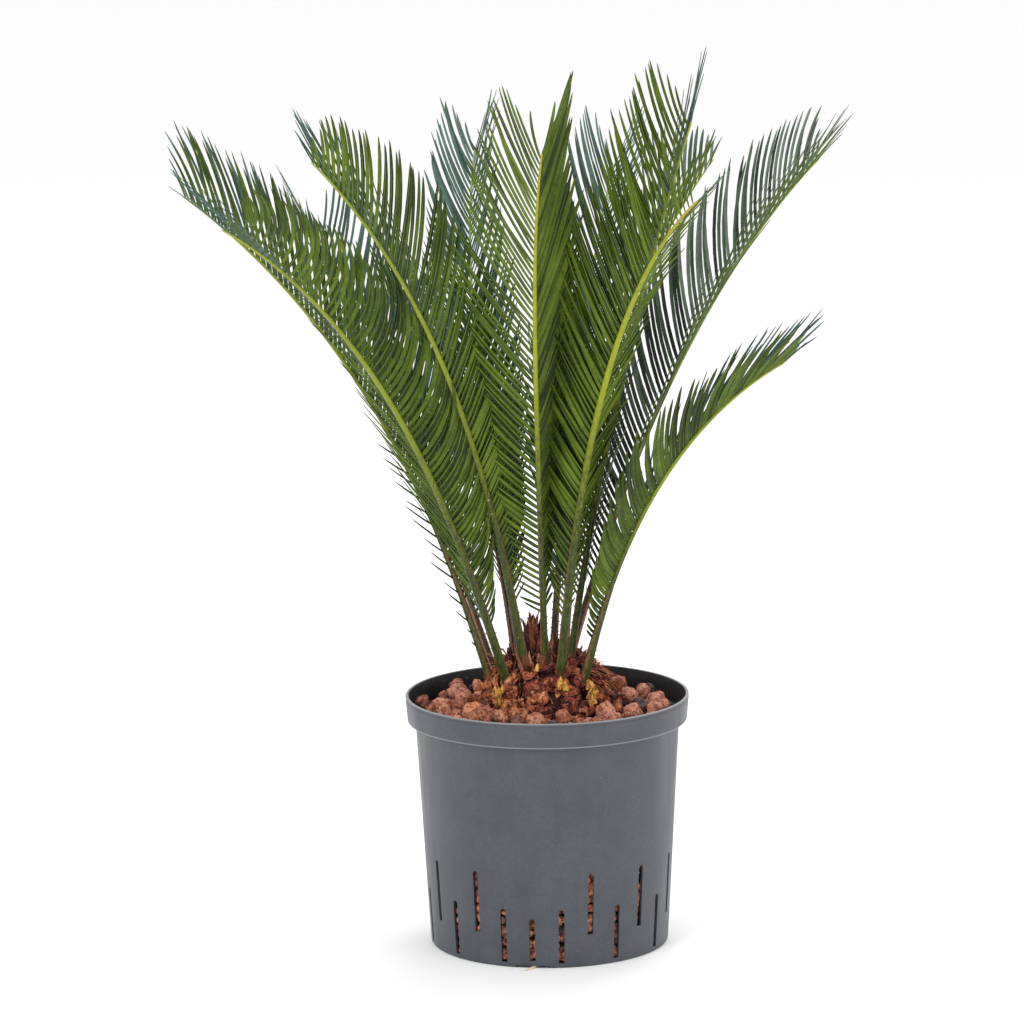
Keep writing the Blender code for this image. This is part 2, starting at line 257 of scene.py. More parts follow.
collar_foot = POT_HEIGHT - COLLAR_HEIGHT
pot_plastic = Finish("pot_plastic", Specular_IOR_Level=0.62)
mottling = pot_plastic.cloud(34, 4, 0.6)
streaks = pot_plastic.cloud(1, 3, 0.5, pot_plastic.place(70, 70, 7))
specks = pot_plastic.between(pot_plastic.cloud(620, 1), 0.70, 0.80)
grime = pot_plastic.between(pot_plastic.cloud(380, 3, 0.7), 0.40, 0.60)
height_up = pot_plastic.node("ShaderNodeSeparateXYZ", {}, {0: pot_plastic.place()}, 2)
# The top of the rim is painted pale: a painted highlight along the lip.
rim_highlight = pot_plastic.between(height_up, POT_HEIGHT - 0.0012, POT_HEIGHT - 0.0002)
body_grey = pot_plastic.mixed(pot_plastic.between(mottling * 0.6 + streaks * 0.4, 0.35, 0.65),
                              paint(54, 58, 68), paint(68, 71, 79))
body_grey = pot_plastic.mixed(grime * 0.35, body_grey, paint(50, 53, 60))
body_grey = pot_plastic.mixed(specks * 0.45, body_grey, paint(108, 112, 118))
# A thin band at the collar's lower edge is painted pale: a painted highlight along that edge.
collar_edge_highlight = pot_plastic.between(height_up, collar_foot + 0.0005, collar_foot + 0.0016, 0.55, 0.0)
collar_edge_highlight = collar_edge_highlight * pot_plastic.between(height_up, collar_foot - 0.0002, collar_foot)
body_grey = pot_plastic.mixed(collar_edge_highlight, body_grey, paint(150, 152, 156))
pot_plastic.give("Base Color", pot_plastic.mixed(rim_highlight * 0.8, body_grey, paint(146, 146, 148)))
pot_plastic.give("Roughness", pot_plastic.between(streaks + mottling * 0.5, 0.5, 1.0, 0.36, 0.52))
pot_plastic.relief(pot_plastic.cloud(900, 3, 0.6) + mottling * 2, 0.00006)

# The inside is painted near black: partly a dark inner layer of the moulding, partly painted shade inside
# the pot.
pot_lining = Finish("pot_lining", Specular_IOR_Level=0.4)
lining_dust = pot_lining.between(pot_lining.cloud(55, 4, 0.65), 0.45, 0.75)
lining_marks = pot_lining.between(pot_lining.cloud(420, 2), 0.66, 0.72)
lining_and_shade = pot_lining.mixed(lining_dust * 0.5, paint(24, 29, 35), paint(38, 43, 50))
pot_lining.give("Base Color", pot_lining.mixed(lining_marks * 0.5, lining_and_shade, paint(120, 122, 122)))
pot_lining.give("Roughness", pot_lining.between(lining_dust, 0.0, 1.0, 0.38, 0.6))
pot_lining.relief(pot_lining.cloud(700, 3), 0.00005)

ledge = collar_foot + WALL
pot_outline = [(0, 0), (0.045, 0), (0.082, 0)]
pot_outline += rounded((BASE_RADIUS - 0.002, 0.002), 0.002, -90, -3, 5)
for k in range(1, 8):
    height = collar_foot * k / 8
    pot_outline.append((inner_radius(height) + WALL, height))
pot_outline += rounded((BODY_TOP_RADIUS + 0.0009, collar_foot - 0.0009), 0.0009, 180, 90, 3)
pot_outline += rounded((COLLAR_FOOT_RADIUS - 0.0008, collar_foot + 0.0008), 0.0008, -90, 5, 6)
pot_outline += rounded((RIM_RADIUS + 0.0002, POT_HEIGHT - 0.0026), 0.0006, -120, -240, 5)
pot_outline += rounded((RIM_RADIUS - 0.0009, POT_HEIGHT - 0.0009), 0.0009, 4, 90, 5)
pot_outline += rounded((RIM_RADIUS - LIP + 0.0008, POT_HEIGHT - 0.0008), 0.0008, 90, 180, 4)
pot_outline += [(COLLAR_FOOT_RADIUS - LIP, ledge + 0.0006), (COLLAR_FOOT_RADIUS - LIP - 0.0006, ledge)]
pot_outline += [(inner_radius(ledge) + 0.0005, ledge), (inner_radius(ledge), ledge - 0.0006)]
pot_outline += [(inner_radius(0.09), 0.09), (inner_radius(POT_FLOOR), POT_FLOOR), (0, POT_FLOOR)]
pot = place_mesh("pot_shell", turned(pot_outline, POT_SIDES), pot_plastic, pot_lining)
cutter = place_mesh("pot_cutter", pot_cutter())
cut = pot.modifiers.new("Slots and notches", "BOOLEAN")
cut.operation = "DIFFERENCE"
cut.solver = "EXACT"
cut.object = cutter
plain_mesh(pot)
bpy.data.objects.remove(cutter)
for face in pot.data.polygons:
    out = Vector((face.center.x, face.center.y, 0)).normalized()
    inside = face.normal.dot(out) < -0.7 and face.center.z > POT_FLOOR
    on_floor = face.normal.z > 0.7 and face.center.z < ledge + 0.001
    face.material_index = 1 if inside or on_floor else 0
pot.data.shade_smooth()
pot.data.set_sharp_from_angle(angle=SHARPEST_SMOOTH_EDGE)
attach(pot, "root")
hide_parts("pot")


# The pot is full of fired clay granules, round but rough and pitted, 7 to 17 mm across.
# They are heaped a little at the back and the sides, and the ones behind the slots show through them.
# Under the loose ones the imported mass of them is one closed body, painted dark as the shade that falls
# between the granules.
FILL_LEVEL = 0.182
TOP_GRANULES = 250
PACKED_LEVEL = 0.1680
PACKED_SIDES = 96
CLAY_COLOURS = (
    (paint(218, 152, 124), paint(150, 84, 62)),
    (paint(192, 122, 96), paint(118, 62, 46)),
    (paint(242, 164, 124), paint(192, 104, 68)),
    (paint(152, 98, 84), paint(84, 50, 42)),
    (paint(104, 88, 88), paint(46, 40, 42)),
)
CLAY_WEIGHTS = (38, 28, 16, 13, 5)
LOOSE_RADII = (0.0034, 0.0044, 0.0054, 0.0062, 0.0072, 0.0084)
TRUNK_ROOM = 0.044
PLACES_TRIED = 16
SHARE_AT_WALL = 0.12


def clay_finish(name, light, dark):
    """Fired clay: matt and pitted. Painted shade darkens its dips, crevices and pits, and pale flecks lie on
    it, partly a dusty bloom and partly painted highlight.
    """
    clay = Finish(name, Specular_IOR_Level=0.25)
    lumps = clay.cloud(230, 5, 0.7)
    bumpy = {"Vector": clay.place(), "Scale": 330.0}
    knobs = clay.node("ShaderNodeTexVoronoi", {"feature": "SMOOTH_F1"}, bumpy)
    pits = clay.node("ShaderNodeTexVoronoi", {}, {"Vector": clay.place(), "Scale": 620.0})
    # The clay's own tone varies, lighter on the raised lumps and darker in the dips; the dips' darkness is
    # painted shade.
    skin = clay.mixed(clay.between(lumps - knobs * 0.35, 0.22, 0.42), dark, light)
    # Pale flecks: partly a dusty bloom, partly painted highlights.
    dust_and_highlights = clay.between(clay.cloud(760, 3, 0.7), 0.55, 0.68)
    skin = clay.mixed(dust_and_highlights * 0.5, skin, paint(226, 176, 150))
    # Dark patches are painted shade, standing for the crevices between the lumps.
    shaded_hollows = clay.between(clay.cloud(300, 4, 0.75), 0.36, 0.44, 0.75, 0.0)
    skin = clay.mixed(shaded_hollows, skin, paint(58, 26, 20))
    # The pits are painted near black: painted shade in the dents that the relief makes there.
    skin = clay.mixed(clay.between(pits, 0.0, 0.24, 0.8, 0.0), skin, paint(44, 20, 16))
    clay.give("Base Color", skin)
    clay.give("Roughness", clay.between(lumps, 0.3, 0.7, 0.95, 0.7))
    clay.relief(lumps * 1.5 - knobs * 1.1 + clay.between(pits, 0.0, 0.35) * 0.6, 0.0019)
    return clay


clays = [clay_finish(f"fired_clay_{k}", light, dark) for k, (light, dark) in enumerate(CLAY_COLOURS)]


def granule_tree():
    """Geometry nodes that put a granule on each point and make every one rough in its own way."""
    group = bpy.data.node_groups.new("granules", "GeometryNodeTree")
    group.interface.new_socket("Places", in_out="INPUT", socket_type="NodeSocketGeometry")
    group.interface.new_socket("Lump height", in_out="INPUT", socket_type="NodeSocketFloat")
    group.interface.new_socket("Lump count per metre", in_out="INPUT", socket_type="NodeSocketFloat")
    group.interface.new_socket("Granules", in_out="OUTPUT", socket_type="NodeSocketGeometry")
    tree = Tree(group)
    given = group.nodes.new("NodeGroupInput")
    places, lump_height, lump_count = (Socket(tree, plug) for plug in given.outputs[:3])
    where = tree.node("GeometryNodeInputPosition", {}, {})
    block = tree.node("GeometryNodeMeshCube", {}, {"Vertices X": 5, "Vertices Y": 5, "Vertices Z": 5})
    ball_place = tree.node("ShaderNodeVectorMath", {"operation": "NORMALIZE"}, {0: where})
    ball = tree.node("GeometryNodeSetPosition", {}, {"Geometry": block, "Position": ball_place})

    def stored(name, kind):
        return tree.node("GeometryNodeInputNamedAttribute", {"data_type": kind}, {"Name": name})

    turn = tree.node("FunctionNodeEulerToRotation", {}, {0: stored("turn", "FLOAT_VECTOR")})
    laid = {"Points": places, "Instance": ball, "Rotation": turn, "Scale": stored("size", "FLOAT_VECTOR")}
    granules = tree.node("GeometryNodeInstanceOnPoints", {}, laid)
    granules = tree.node("GeometryNodeRealizeInstances", {}, {"Geometry": granules})
    broad = tree.node("ShaderNodeTexNoise", {}, {"Vector": where, "Scale": lump_count, "Detail": 2.0})
    chips = tree.node("ShaderNodeTexVoronoi", {}, {"Vector": where, "Scale": lump_count * 0.8})
    rise = (broad - 0.5) * 2.0 - chips * 0.6 + 0.16
    facing = tree.node("GeometryNodeInputNormal", {}, {})
    outward = {0: facing, "Scale": rise * lump_height}
    push = tree.node("ShaderNodeVectorMath", {"operation": "SCALE"}, outward)
    granules = tree.node("GeometryNodeSetPosition", {}, {"Geometry": granules, "Offset": push})
    granules = tree.node("GeometryNodeSetShadeSmooth", {}, {"Geometry": granules})
    for number, clay in enumerate(clays):
        same = {0: stored("kind", "INT"), 1: float(number), 2: 0.1}
        chosen = tree.node("ShaderNodeMath", {"operation": "COMPARE"}, same)
        finish = {"Geometry": granules, "Selection": chosen, "Material": clay.material}
        granules = tree.node("GeometryNodeSetMaterial", {}, finish)
    done = group.nodes.new("NodeGroupOutput")
    group.links.new(granules.plug, done.inputs[0])
    return group


def lay_granules(name, granules, draw, lump_height, lump_count):
    """Makes one piece of granules from their places and radii."""
    points = bpy.data.meshes.new(name)
    points.from_pydata([place for place, _ in granules], [], [])
    sizes, turns, kinds = [], [], []
    for _, radius in granules:
        sizes += [radius * draw.uniform(0.78, 1.20) for _ in range(3)]
        turns += [draw.uniform(0, math.tau) for _ in range(3)]
        kinds += draw.choices(range(len(clays)), CLAY_WEIGHTS)
    points.attributes.new("size", "FLOAT_VECTOR", "POINT").data.foreach_set("vector", sizes)
    points.attributes.new("turn", "FLOAT_VECTOR", "POINT").data.foreach_set("vector", turns)
    points.attributes.new("kind", "INT", "POINT").data.foreach_set("value", kinds)
    piece = bpy.data.objects.new(name, points)
    bpy.context.scene.collection.objects.link(piece)
    maker = piece.modifiers.new("Granules", "NODES")
    maker.node_group = granule_nodes
    named = {item.name: item.identifier for item in granule_nodes.interface.items_tree}
    maker[named["Lump height"]] = lump_height
    maker[named["Lump count per metre"]] = lump_count
    plain_mesh(piece)
    return piece


def fill_ground(x, y):
    """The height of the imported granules, on which the loose ones lie."""
    radius = math.hypot(x, y)
    heap = 0.0030 * (0.5 + y / 0.21) + 0.0020 * min(1.0, abs(x) / 0.09) ** 2
    return PACKED_LEVEL + heap + 0.0012 * math.sin(7 * math.atan2(y, x) + radius * 90)


def settled_granules(draw):
    """Drops granules one by one on the fill, each into the lowest of a few places."""
    wall = COLLAR_FOOT_RADIUS - LIP
    lying = []
    for _ in range(TOP_GRANULES):
        radius = draw.choice(LOOSE_RADII)
        best = None
        for _ in range(PLACES_TRIED):
            turn = draw.uniform(0, math.tau)
            edge = wall - radius if draw.random() < SHARE_AT_WALL else inner_radius(ledge) - 1.15 * radius
            out = math.sqrt(draw.uniform(TRUNK_ROOM**2, edge**2))
            x, y = out * math.cos(turn), out * math.sin(turn)
            on_ledge = out + 1.1 * radius > inner_radius(ledge)
            level = max(fill_ground(x, y), ledge if on_ledge else 0)
            height = level + radius * 0.85
            for other, other_radius in lying:
                reach = (radius + other_radius) * 0.93
                gap = math.hypot(other.x - x, other.y - y)
                if gap < reach:
                    height = max(height, other.z + math.sqrt(reach**2 - gap**2))
            if best is None or height < best.z:
                best = Vector((x, y, height))
        lying.append((best, radius))
    return lying


def slot_granules(draw):
    """Smaller granules that lie against the wall behind each slot."""
    lying = []
    for number in range(SLOT_COUNT):
        low, high = slot_span(number)
        height = low + 0.001
        while height < high + 0.003:
            for side in (-1, 1):
                radius = draw.uniform(0.0031, 0.0044)
                out = inner_radius(height) - radius - draw.uniform(0.0002, 0.0016)
                shift = side * draw.uniform(0.0008, 0.0042)
                turn = slot_angle(number) + shift / out
                up = max(height + draw.uniform(-0.002, 0.002), POT_FLOOR + radius)
                lying.append((Vector((out * math.cos(turn), out * math.sin(turn), up)), radius))
            height += draw.uniform(0.0052, 0.0072)
    return lying


granule_nodes = granule_tree()
granule_draw = random.Random(41)
granules = lay_granules("granules_loose", settled_granules(granule_draw), granule_draw, 0.0030, 170)
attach(granules, "root")
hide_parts("clay_granules")

granules_at_slots = lay_granules("granules_at_slots", slot_granules(granule_draw), granule_draw, 0.0012, 260)
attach(granules_at_slots, "root")

packed_foot = POT_FLOOR + 0.0004
packed_outline = [(0, packed_foot)]
for k in range(9):
    height = packed_foot + 0.160 * k / 8
    gap = 0.0062 if height < 0.09 else 0.0025
    packed_outline.append((inner_radius(height) - gap, height))
packed_outline.append((0.097, 0.1660))
packed_outline += [(radius, PACKED_LEVEL) for radius in (0.090, 0.078, 0.064, 0.050, 0.034, 0.016, 0)]
packed = turned(packed_outline, PACKED_SIDES)
for corner in packed.verts:
    if corner.co.z > PACKED_LEVEL - 0.0005:
        corner.co.z = fill_ground(corner.co.x, corner.co.y) + 0.0008 * noise.noise(corner.co * 160)
    elif corner.co.z > packed_foot + 0.0006:
        corner.co.x += 0.0012 * noise.noise(corner.co * 140)
        corner.co.y += 0.0012 * noise.noise(corner.co * 140 + Vector((7, 3, 5)))
# Its dark clay is painted shade in the gaps between the loose granules.
clay_shade = clay_finish("fired_clay_shade", paint(74, 42, 34), paint(30, 18, 16))
granule_mass = place_mesh("granules_packed", packed, clay_shade)
granule_mass.data.shade_smooth()
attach(granule_mass, "root")


class Batch:
    """Many small shapes, joined into one mesh in which each face has its own finish."""

    def __init__(self):
        self.points = []
        self.faces = []
        self.kinds = []
        self.marks = []
        self.edges = []

    def tube(self, rings, kind, marks=None, edges=None):
        """Joins rings of points with faces and closes both ends. A ring of one point is a tip.

        kind(row, column) gives a face's finish, and the row -1 or the last one is that of an end.
        The marks go along the tube, one for each ring, and the edges go round it, one for each column.
        """
        starts = []
        for row, ring in enumerate(rings):
            starts.append(len(self.points))
            self.points += ring
            self.marks += [marks[row] if marks else 0.0] * len(ring)
            self.edges += edges if edges and len(ring) == len(edges) else [0.0] * len(ring)
        columns = max(len(rings[0]), len(rings[-2]))
        for row in range(len(rings) - 1):
            low, high = len(rings[row]), len(rings[row + 1])
            for column in range(columns):
                n = (column + 1) % columns
                corners = [starts[row] + column % low, starts[row] + n % low]
                corners += [starts[row + 1] + n % high, starts[row + 1] + column % high]
                self.faces.append(list(dict.fromkeys(corners)))
                self.kinds.append(kind(row, column))
        for row in (0, len(rings) - 1):
            if len(rings[row]) > 2:
                self.faces.append([starts[row] + column for column in range(len(rings[row]))])
                self.kinds.append(kind(row - 1 if row == 0 else row, 0))

    def piece(self, name, finishes, crease=40):
        """Puts the mesh in the scene, smooth across edges flatter than the crease in degrees."""
        data = bpy.data.meshes.new(name)
        data.from_pydata(self.points, [], self.faces)
        data.polygons.foreach_set("material_index", self.kinds)
        data.attributes.new("along", "FLOAT", "POINT").data.foreach_set("value", self.marks)
        data.attributes.new("edge", "FLOAT", "POINT").data.foreach_set("value", self.edges)
        mesh = bmesh.new()
        mesh.from_mesh(data)
        bpy.data.meshes.remove(data)
        bmesh.ops.recalc_face_normals(mesh, faces=mesh.faces)
        piece = place_mesh(name, mesh, *finishes)
        piece.data.shade_smooth()
        piece.data.set_sharp_from_angle(angle=math.radians(crease))
        return piece


def ring_of(middle, across, upward, half_width, half_height, sides):
    """An oval ring of points round a middle."""
    turns = [math.tau * k / sides for k in range(sides)]
    return [middle + across * half_width * math.cos(a) + upward * half_height * math.sin(a) for a in turns]


# One pale root tip has grown out under the pot, through the notch at the front.
# It is a soft white root, about 2 mm thick, that lies on the ground.
ROOT_LINE = (
    (-0.0105, -0.0865, 0.0013),
    (-0.0125, -0.0900, 0.0012),
    (-0.0148, -0.0938, 0.0011),
    (-0.0172, -0.0966, 0.0010),
    (-0.0193, -0.0990, 0.0009),
    (-0.0201, -0.1000, 0.0008),
)
root_skin = Finish("root_skin", Roughness=0.6)
root_tint = root_skin.cloud(500, 3)
root_skin.give("Base Color", root_skin.mixed(root_tint, paint(214, 190, 150), paint(238, 226, 200)))
root_skin.relief(root_tint, 0.0002)

root = Batch()
root_points = [Vector(point) for point in ROOT_LINE]
root_rings = []
for k, point in enumerate(root_points[:-1]):
    ahead = (root_points[k + 1] - point).normalized()
    aside = ahead.cross(Vector((0, 0, 1))).normalized()
    root_rings.append(ring_of(point, aside, aside.cross(ahead), 0.0010 - 0.0001 * k, 0.0009 - 0.0001 * k, 8))
root_rings.append([root_points[-1]])
root.tube(root_rings, lambda row, column: 0)
root_tip = root.piece("root_tip", [root_skin], 80)
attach(root_tip, "root")


# The trunk is a short, squat caudex. It is armoured with the stubs of old leaf bases in a spiral,
# each with a ragged, paler edge round a dark scar, and shaggy with dry fibres and papery flakes.
CAUDEX_PROFILE = (
    (0.0495, 0.000),
    (0.0480, 0.006),
    (0.0455, 0.014),
    (0.0450, 0.024),
    (0.0420, 0.034),
    (0.0340, 0.042),
    (0.0200, 0.048),
    (0.0080, 0.050),
)
CAUDEX_LEAN = -0.002
CAUDEX_HEIGHT = 0.050
CAUDEX_FOOT = FILL_LEVEL + 0.0003
CAUDEX_SHOULDER = 0.200
SHOULDER_FALL = 0.018
CORE_FOOT = 0.1745
CORE_HEIGHT = 0.0565
CORE_TOP = 0.2318
CORE_RINGS = 30
CORE_SIDES = 96
STUB_COUNT = 78
STUB_SIDES = 9
# How far along a stub each ring of it stands, and its size as a share of the stub's
STUB_RINGS = ((-1.0, 0.90), (0.10, 1.02), (0.55, 0.94), (0.85, 0.70), (1.0, 0.34))
FLAKE_COUNT = 170
FIBRE_COUNT = 240
# The first and last heading and the count of the fibres that hang down
HANGING_FIBRES = ((-30, 12, 90), (188, 206, 16))
# The heading, height, length up the trunk and count of the yellow shreds under the front petioles
GOLD_SCARS = (
    (227, 0.199, 0.012, 26),
    (264, 0.216, 0.004, 1),
    (284, 0.209, 0.005, 8),
    (311, 0.199, 0.015, 34),
)
GOLDEN_TURN = math.radians(137.508)
# Without a seed, the vector noise on the leaf bases starts from the clock and differs each run
noise.seed_set(1907)


def caudex_radius(height):
    """The trunk's mean radius at a height."""
    up = height - CAUDEX_FOOT
    if up <= 0:
        return CAUDEX_PROFILE[0][0]
    for (radius, low), (next_radius, high) in zip(CAUDEX_PROFILE, CAUDEX_PROFILE[1:]):
        if up <= high:
            return radius + (next_radius - radius) * (up - low) / (high - low)
    return CAUDEX_PROFILE[-1][0]


def caudex_point(turn, height, proud=0.0):
    """A point on the trunk's side, or one that stands proud of it."""
    up = max(0.0, height - FILL_LEVEL)
    swell = 1 + 0.035 * math.sin(3 * turn + 0.8) + 0.025 * math.sin(5 * turn + up * 60)
    radius = caudex_radius(height) * swell + proud
    middle = CAUDEX_LEAN * up / CAUDEX_HEIGHT
    return Vector((radius * math.cos(turn) + middle, radius * math.sin(turn), height))


def past_shoulder(height):
    """How far a height is past the trunk's shoulder, from 0 to 1."""
    return max(0.0, min(1.0, (height - CAUDEX_SHOULDER) / SHOULDER_FALL))


def caudex_frame(turn, height):
    """A point a little inside the trunk's top or on its side, with the ways out, up the side, and aside."""
    point = caudex_point(turn, height, -0.0045 * past_shoulder(height))
    higher = caudex_point(turn, height + 0.003) - caudex_point(turn, height - 0.003)
    aside = Vector((-math.sin(turn), math.cos(turn), 0))
    upward = higher.normalized()
    return point, aside.cross(upward).normalized(), upward, aside


def bark_finish(name, light, dark, rough=0.9):
    """Old leaf-base tissue: matt, fibrous and streaked up and down, with near-black crevice lines of painted
    shade, and pale flecks that are partly a dusty bloom and partly painted highlight.
    """
    bark = Finish(name, Specular_IOR_Level=0.2, Roughness=rough)
    fibres = bark.cloud(1, 4, 0.7, bark.place(900, 900, 200))
    blotches = bark.cloud(170, 4, 0.7)
    skin = bark.mixed(bark.between(fibres * 0.4 + blotches * 0.6, 0.41, 0.58), dark, light)
    # Near-black lines are painted shade, standing for deep crevices.
    shaded_cracks = bark.between(bark.cloud(300, 4, 0.75), 0.36, 0.44, 0.85, 0.0)
    skin = bark.mixed(shaded_cracks, skin, paint(22, 10, 9))
    # Pale orange flecks: partly a dusty bloom, partly painted highlights.
    dust_and_highlights = bark.between(bark.cloud(620, 3, 0.8), 0.58, 0.68, 0.0, 0.60)
    bark.give("Base Color", bark.mixed(dust_and_highlights, skin, paint(232, 168, 130)))
    bark.relief(fibres * 0.8 + blotches * 1.7, 0.0018)
    return bark


barks = [
    bark_finish("bark_red_brown", paint(206, 118, 82), paint(74, 30, 22)),
    bark_finish("bark_dark", paint(72, 38, 28), paint(28, 14, 12)),
    bark_finish("bark_tan", paint(232, 164, 112), paint(146, 80, 48)),
    bark_finish("bark_gold", paint(240, 192, 88), paint(186, 120, 48)),
    bark_finish("bark_maroon", paint(152, 74, 58), paint(52, 20, 18)),
]
RED_BROWN, DARK, TAN, GOLD, MAROON = range(5)

core_outline = [(0, CORE_FOOT)]
for k in range(CORE_RINGS):
    core_outline.append((1.0, CORE_FOOT + CORE_HEIGHT * k / (CORE_RINGS - 1)))
core_outline.append((0, CORE_TOP))
core = turned(core_outline, CORE_SIDES)
for corner in core.verts:
    turn = math.atan2(corner.co.y, corner.co.x)
    if math.hypot(corner.co.x, corner.co.y) > 0.5:
        spot = Vector((math.cos(turn), math.sin(turn), corner.co.z * 30))
        knots = 0.0032 * noise.noise(spot * 4.5)
        knots += 0.0014 * noise.noise(spot * 13)
        sunk = 0.0045 + 0.0040 * past_shoulder(corner.co.z)
        corner.co = caudex_point(turn, corner.co.z, knots - sunk)
# The core takes the darkest bark: painted shade for the gaps between the leaf bases.
caudex_core = place_mesh("caudex_core", core, barks[DARK])
caudex_core.data.shade_smooth()
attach(caudex_core, "root")
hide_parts("caudex")


def add_stub(batch, draw, turn, height, size, proud, colours):
    """One old leaf base: a broken, lumpy stub that leans up, with a torn end."""
    point, out, upward, aside = caudex_frame(turn, height)
    ahead = (out + upward * draw.uniform(-0.1, 0.9) + aside * draw.uniform(-0.35, 0.35)).normalized()
    across = (aside - ahead * aside.dot(ahead)).normalized()
    twist = Quaternion(ahead, draw.uniform(-0.7, 0.7))
    across = twist @ across
    lift = ahead.cross(across)
    wide = size * draw.uniform(0.75, 1.15)
    tall = size * draw.uniform(0.50, 0.85)
    rings = []
    for step, (reach, share) in enumerate(STUB_RINGS):
        middle = point + ahead * (reach * proud)
        ring = ring_of(middle, across, lift, wide * share, tall * share, STUB_SIDES)
        for k, corner in enumerate(ring):
            rough = noise.noise_vector(corner * 170 + Vector((turn, height * 40, step * 0.4)))
            ring[k] = corner + rough * (0.0030 if step else 0.0008) + ahead * draw.uniform(-0.0010, 0.0010)
        rings.append(ring)
    side_colour, rim_colour, torn_colour = colours
    # A stub's foot, where it leaves the trunk, is in the darkest bark: painted shade where stub and trunk
    # meet.
    kinds = (DARK, side_colour, side_colour, rim_colour, torn_colour)
    batch.tube(rings, lambda row, column: kinds[max(0, row)])


def add_flake(batch, draw, start, ahead, aside, length, width, curl, colour):
    """One dry fibre or papery flake: a thin strip with torn edges that curls as it goes."""
    point = start.copy()
    face = aside.cross(ahead).normalized()
    rings = []
    steps = 4
    for k in range(steps):
        share = k / steps
        left = width / 2 * (1 - share**2.2) * draw.uniform(0.7, 1.15)
        right = width / 2 * (1 - share**2.2) * draw.uniform(0.7, 1.15)
        ridge = face * (0.0003 + 0.10 * width * draw.random()) * (1 - share)
        rings.append([point - aside * left, point + ridge, point + aside * right])
        turn = Quaternion(aside, curl / steps)
        ahead = turn @ ahead
        face = turn @ face
        point = point + ahead * length / steps
    rings.append([point])
    batch.tube(rings, lambda row, column: colour)


# The colours of a leaf base's side, rim and torn end, and how often each set comes
STUB_COLOURS = (
    (RED_BROWN, RED_BROWN, MAROON),
    (MAROON, MAROON, RED_BROWN),
    (RED_BROWN, TAN, RED_BROWN),
    (DARK, MAROON, DARK),
    (TAN, TAN, RED_BROWN),
    (MAROON, RED_BROWN, DARK),
)
STUB_WEIGHTS = (24, 26, 16, 14, 6, 14)
bark_draw = random.Random(1907)
armour = Batch()
for number in range(STUB_COUNT):
    share = (number + 0.5) / STUB_COUNT
    height = 0.1815 + 0.0455 * share**1.08
    turn = number * GOLDEN_TURN + bark_draw.uniform(-0.14, 0.14)
    size = 0.0114 - 0.0046 * share
    colours = bark_draw.choices(STUB_COLOURS, STUB_WEIGHTS)[0]
    proud = bark_draw.uniform(0.0036, 0.0088) * (1 - 0.6 * share)
    add_stub(armour, bark_draw, turn, height, size, proud, colours)
stubs = armour.piece("caudex_leaf_bases", barks, 50)
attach(stubs, "root")

shag = Batch()
for _ in range(FLAKE_COUNT):
    turn = bark_draw.uniform(0, math.tau)
    share = bark_draw.random()
    point, out, upward, aside = caudex_frame(turn, 0.182 + 0.044 * share)
    ahead = out * bark_draw.uniform(0.2, 1.2) * (1 - 0.6 * share) + upward * bark_draw.uniform(-0.5, 1.0)
    ahead = (ahead + aside * bark_draw.uniform(-0.8, 0.8)).normalized()
    aside = ahead.cross(out).normalized()
    colour = bark_draw.choices((RED_BROWN, TAN, DARK, MAROON, GOLD), (34, 22, 18, 24, 2))[0]
    lift = out * (0.001 - 0.003 * share)
    length = bark_draw.uniform(0.006, 0.013) * (1 - 0.4 * share)
    add_flake(shag, bark_draw, point + lift, ahead, aside, length,
              bark_draw.uniform(0.0025, 0.0085), bark_draw.uniform(-1.6, 1.2), colour)
for _ in range(FIBRE_COUNT):
    turn = bark_draw.uniform(0, math.tau)
    point, out, upward, aside = caudex_frame(turn, 0.184 + 0.044 * bark_draw.random())
    ahead = (out * bark_draw.uniform(0.05, 0.6) + upward + aside * bark_draw.uniform(-0.5, 0.5)).normalized()
    aside = ahead.cross(out).normalized()
    colour = bark_draw.choices((RED_BROWN, TAN, DARK, MAROON), (36, 26, 14, 20))[0]
    add_flake(shag, bark_draw, point - out * 0.001, ahead, aside, bark_draw.uniform(0.006, 0.013),
              bark_draw.uniform(0.0006, 0.0018), bark_draw.uniform(-0.9, 0.5), colour)
for low_turn, high_turn, count in HANGING_FIBRES:
    for _ in range(count):
        turn = math.radians(bark_draw.uniform(low_turn, high_turn))
        point, out, upward, aside = caudex_frame(turn, bark_draw.uniform(0.206, 0.226))
        fall = upward * bark_draw.uniform(0.7, 1.4)
        ahead = out * bark_draw.uniform(0.5, 1.0) - fall
        ahead = (ahead + aside * bark_draw.uniform(-0.3, 0.3)).normalized()
        aside = ahead.cross(out).normalized()
        add_flake(shag, bark_draw, point, ahead, aside, bark_draw.uniform(0.012, 0.026),
                  bark_draw.uniform(0.0006, 0.0018), bark_draw.uniform(-0.4, 0.3),
                  bark_draw.choice((TAN, TAN, RED_BROWN, RED_BROWN, MAROON)))
for heading, height, tall, count in GOLD_SCARS:
    for _ in range(count):
        turn = math.radians(heading + bark_draw.uniform(-4.5, 4.5))
        point, out, upward, aside = caudex_frame(turn, height + tall * bark_draw.uniform(-0.5, 0.5))
        ahead = upward + out * bark_draw.uniform(0.0, 0.4)
        ahead = (ahead + aside * bark_draw.uniform(-0.3, 0.3)).normalized()
        aside = ahead.cross(out).normalized()
        add_flake(shag, bark_draw, point + out * bark_draw.uniform(0.0080, 0.0115), ahead, aside,
                  bark_draw.uniform(0.004, 0.008), bark_draw.uniform(0.0026, 0.0050),
                  bark_draw.uniform(-0.5, 0.6), bark_draw.choice((GOLD, GOLD, GOLD, TAN)))
fibres = shag.piece("caudex_fibres", barks, 60)
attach(fibres, "root")


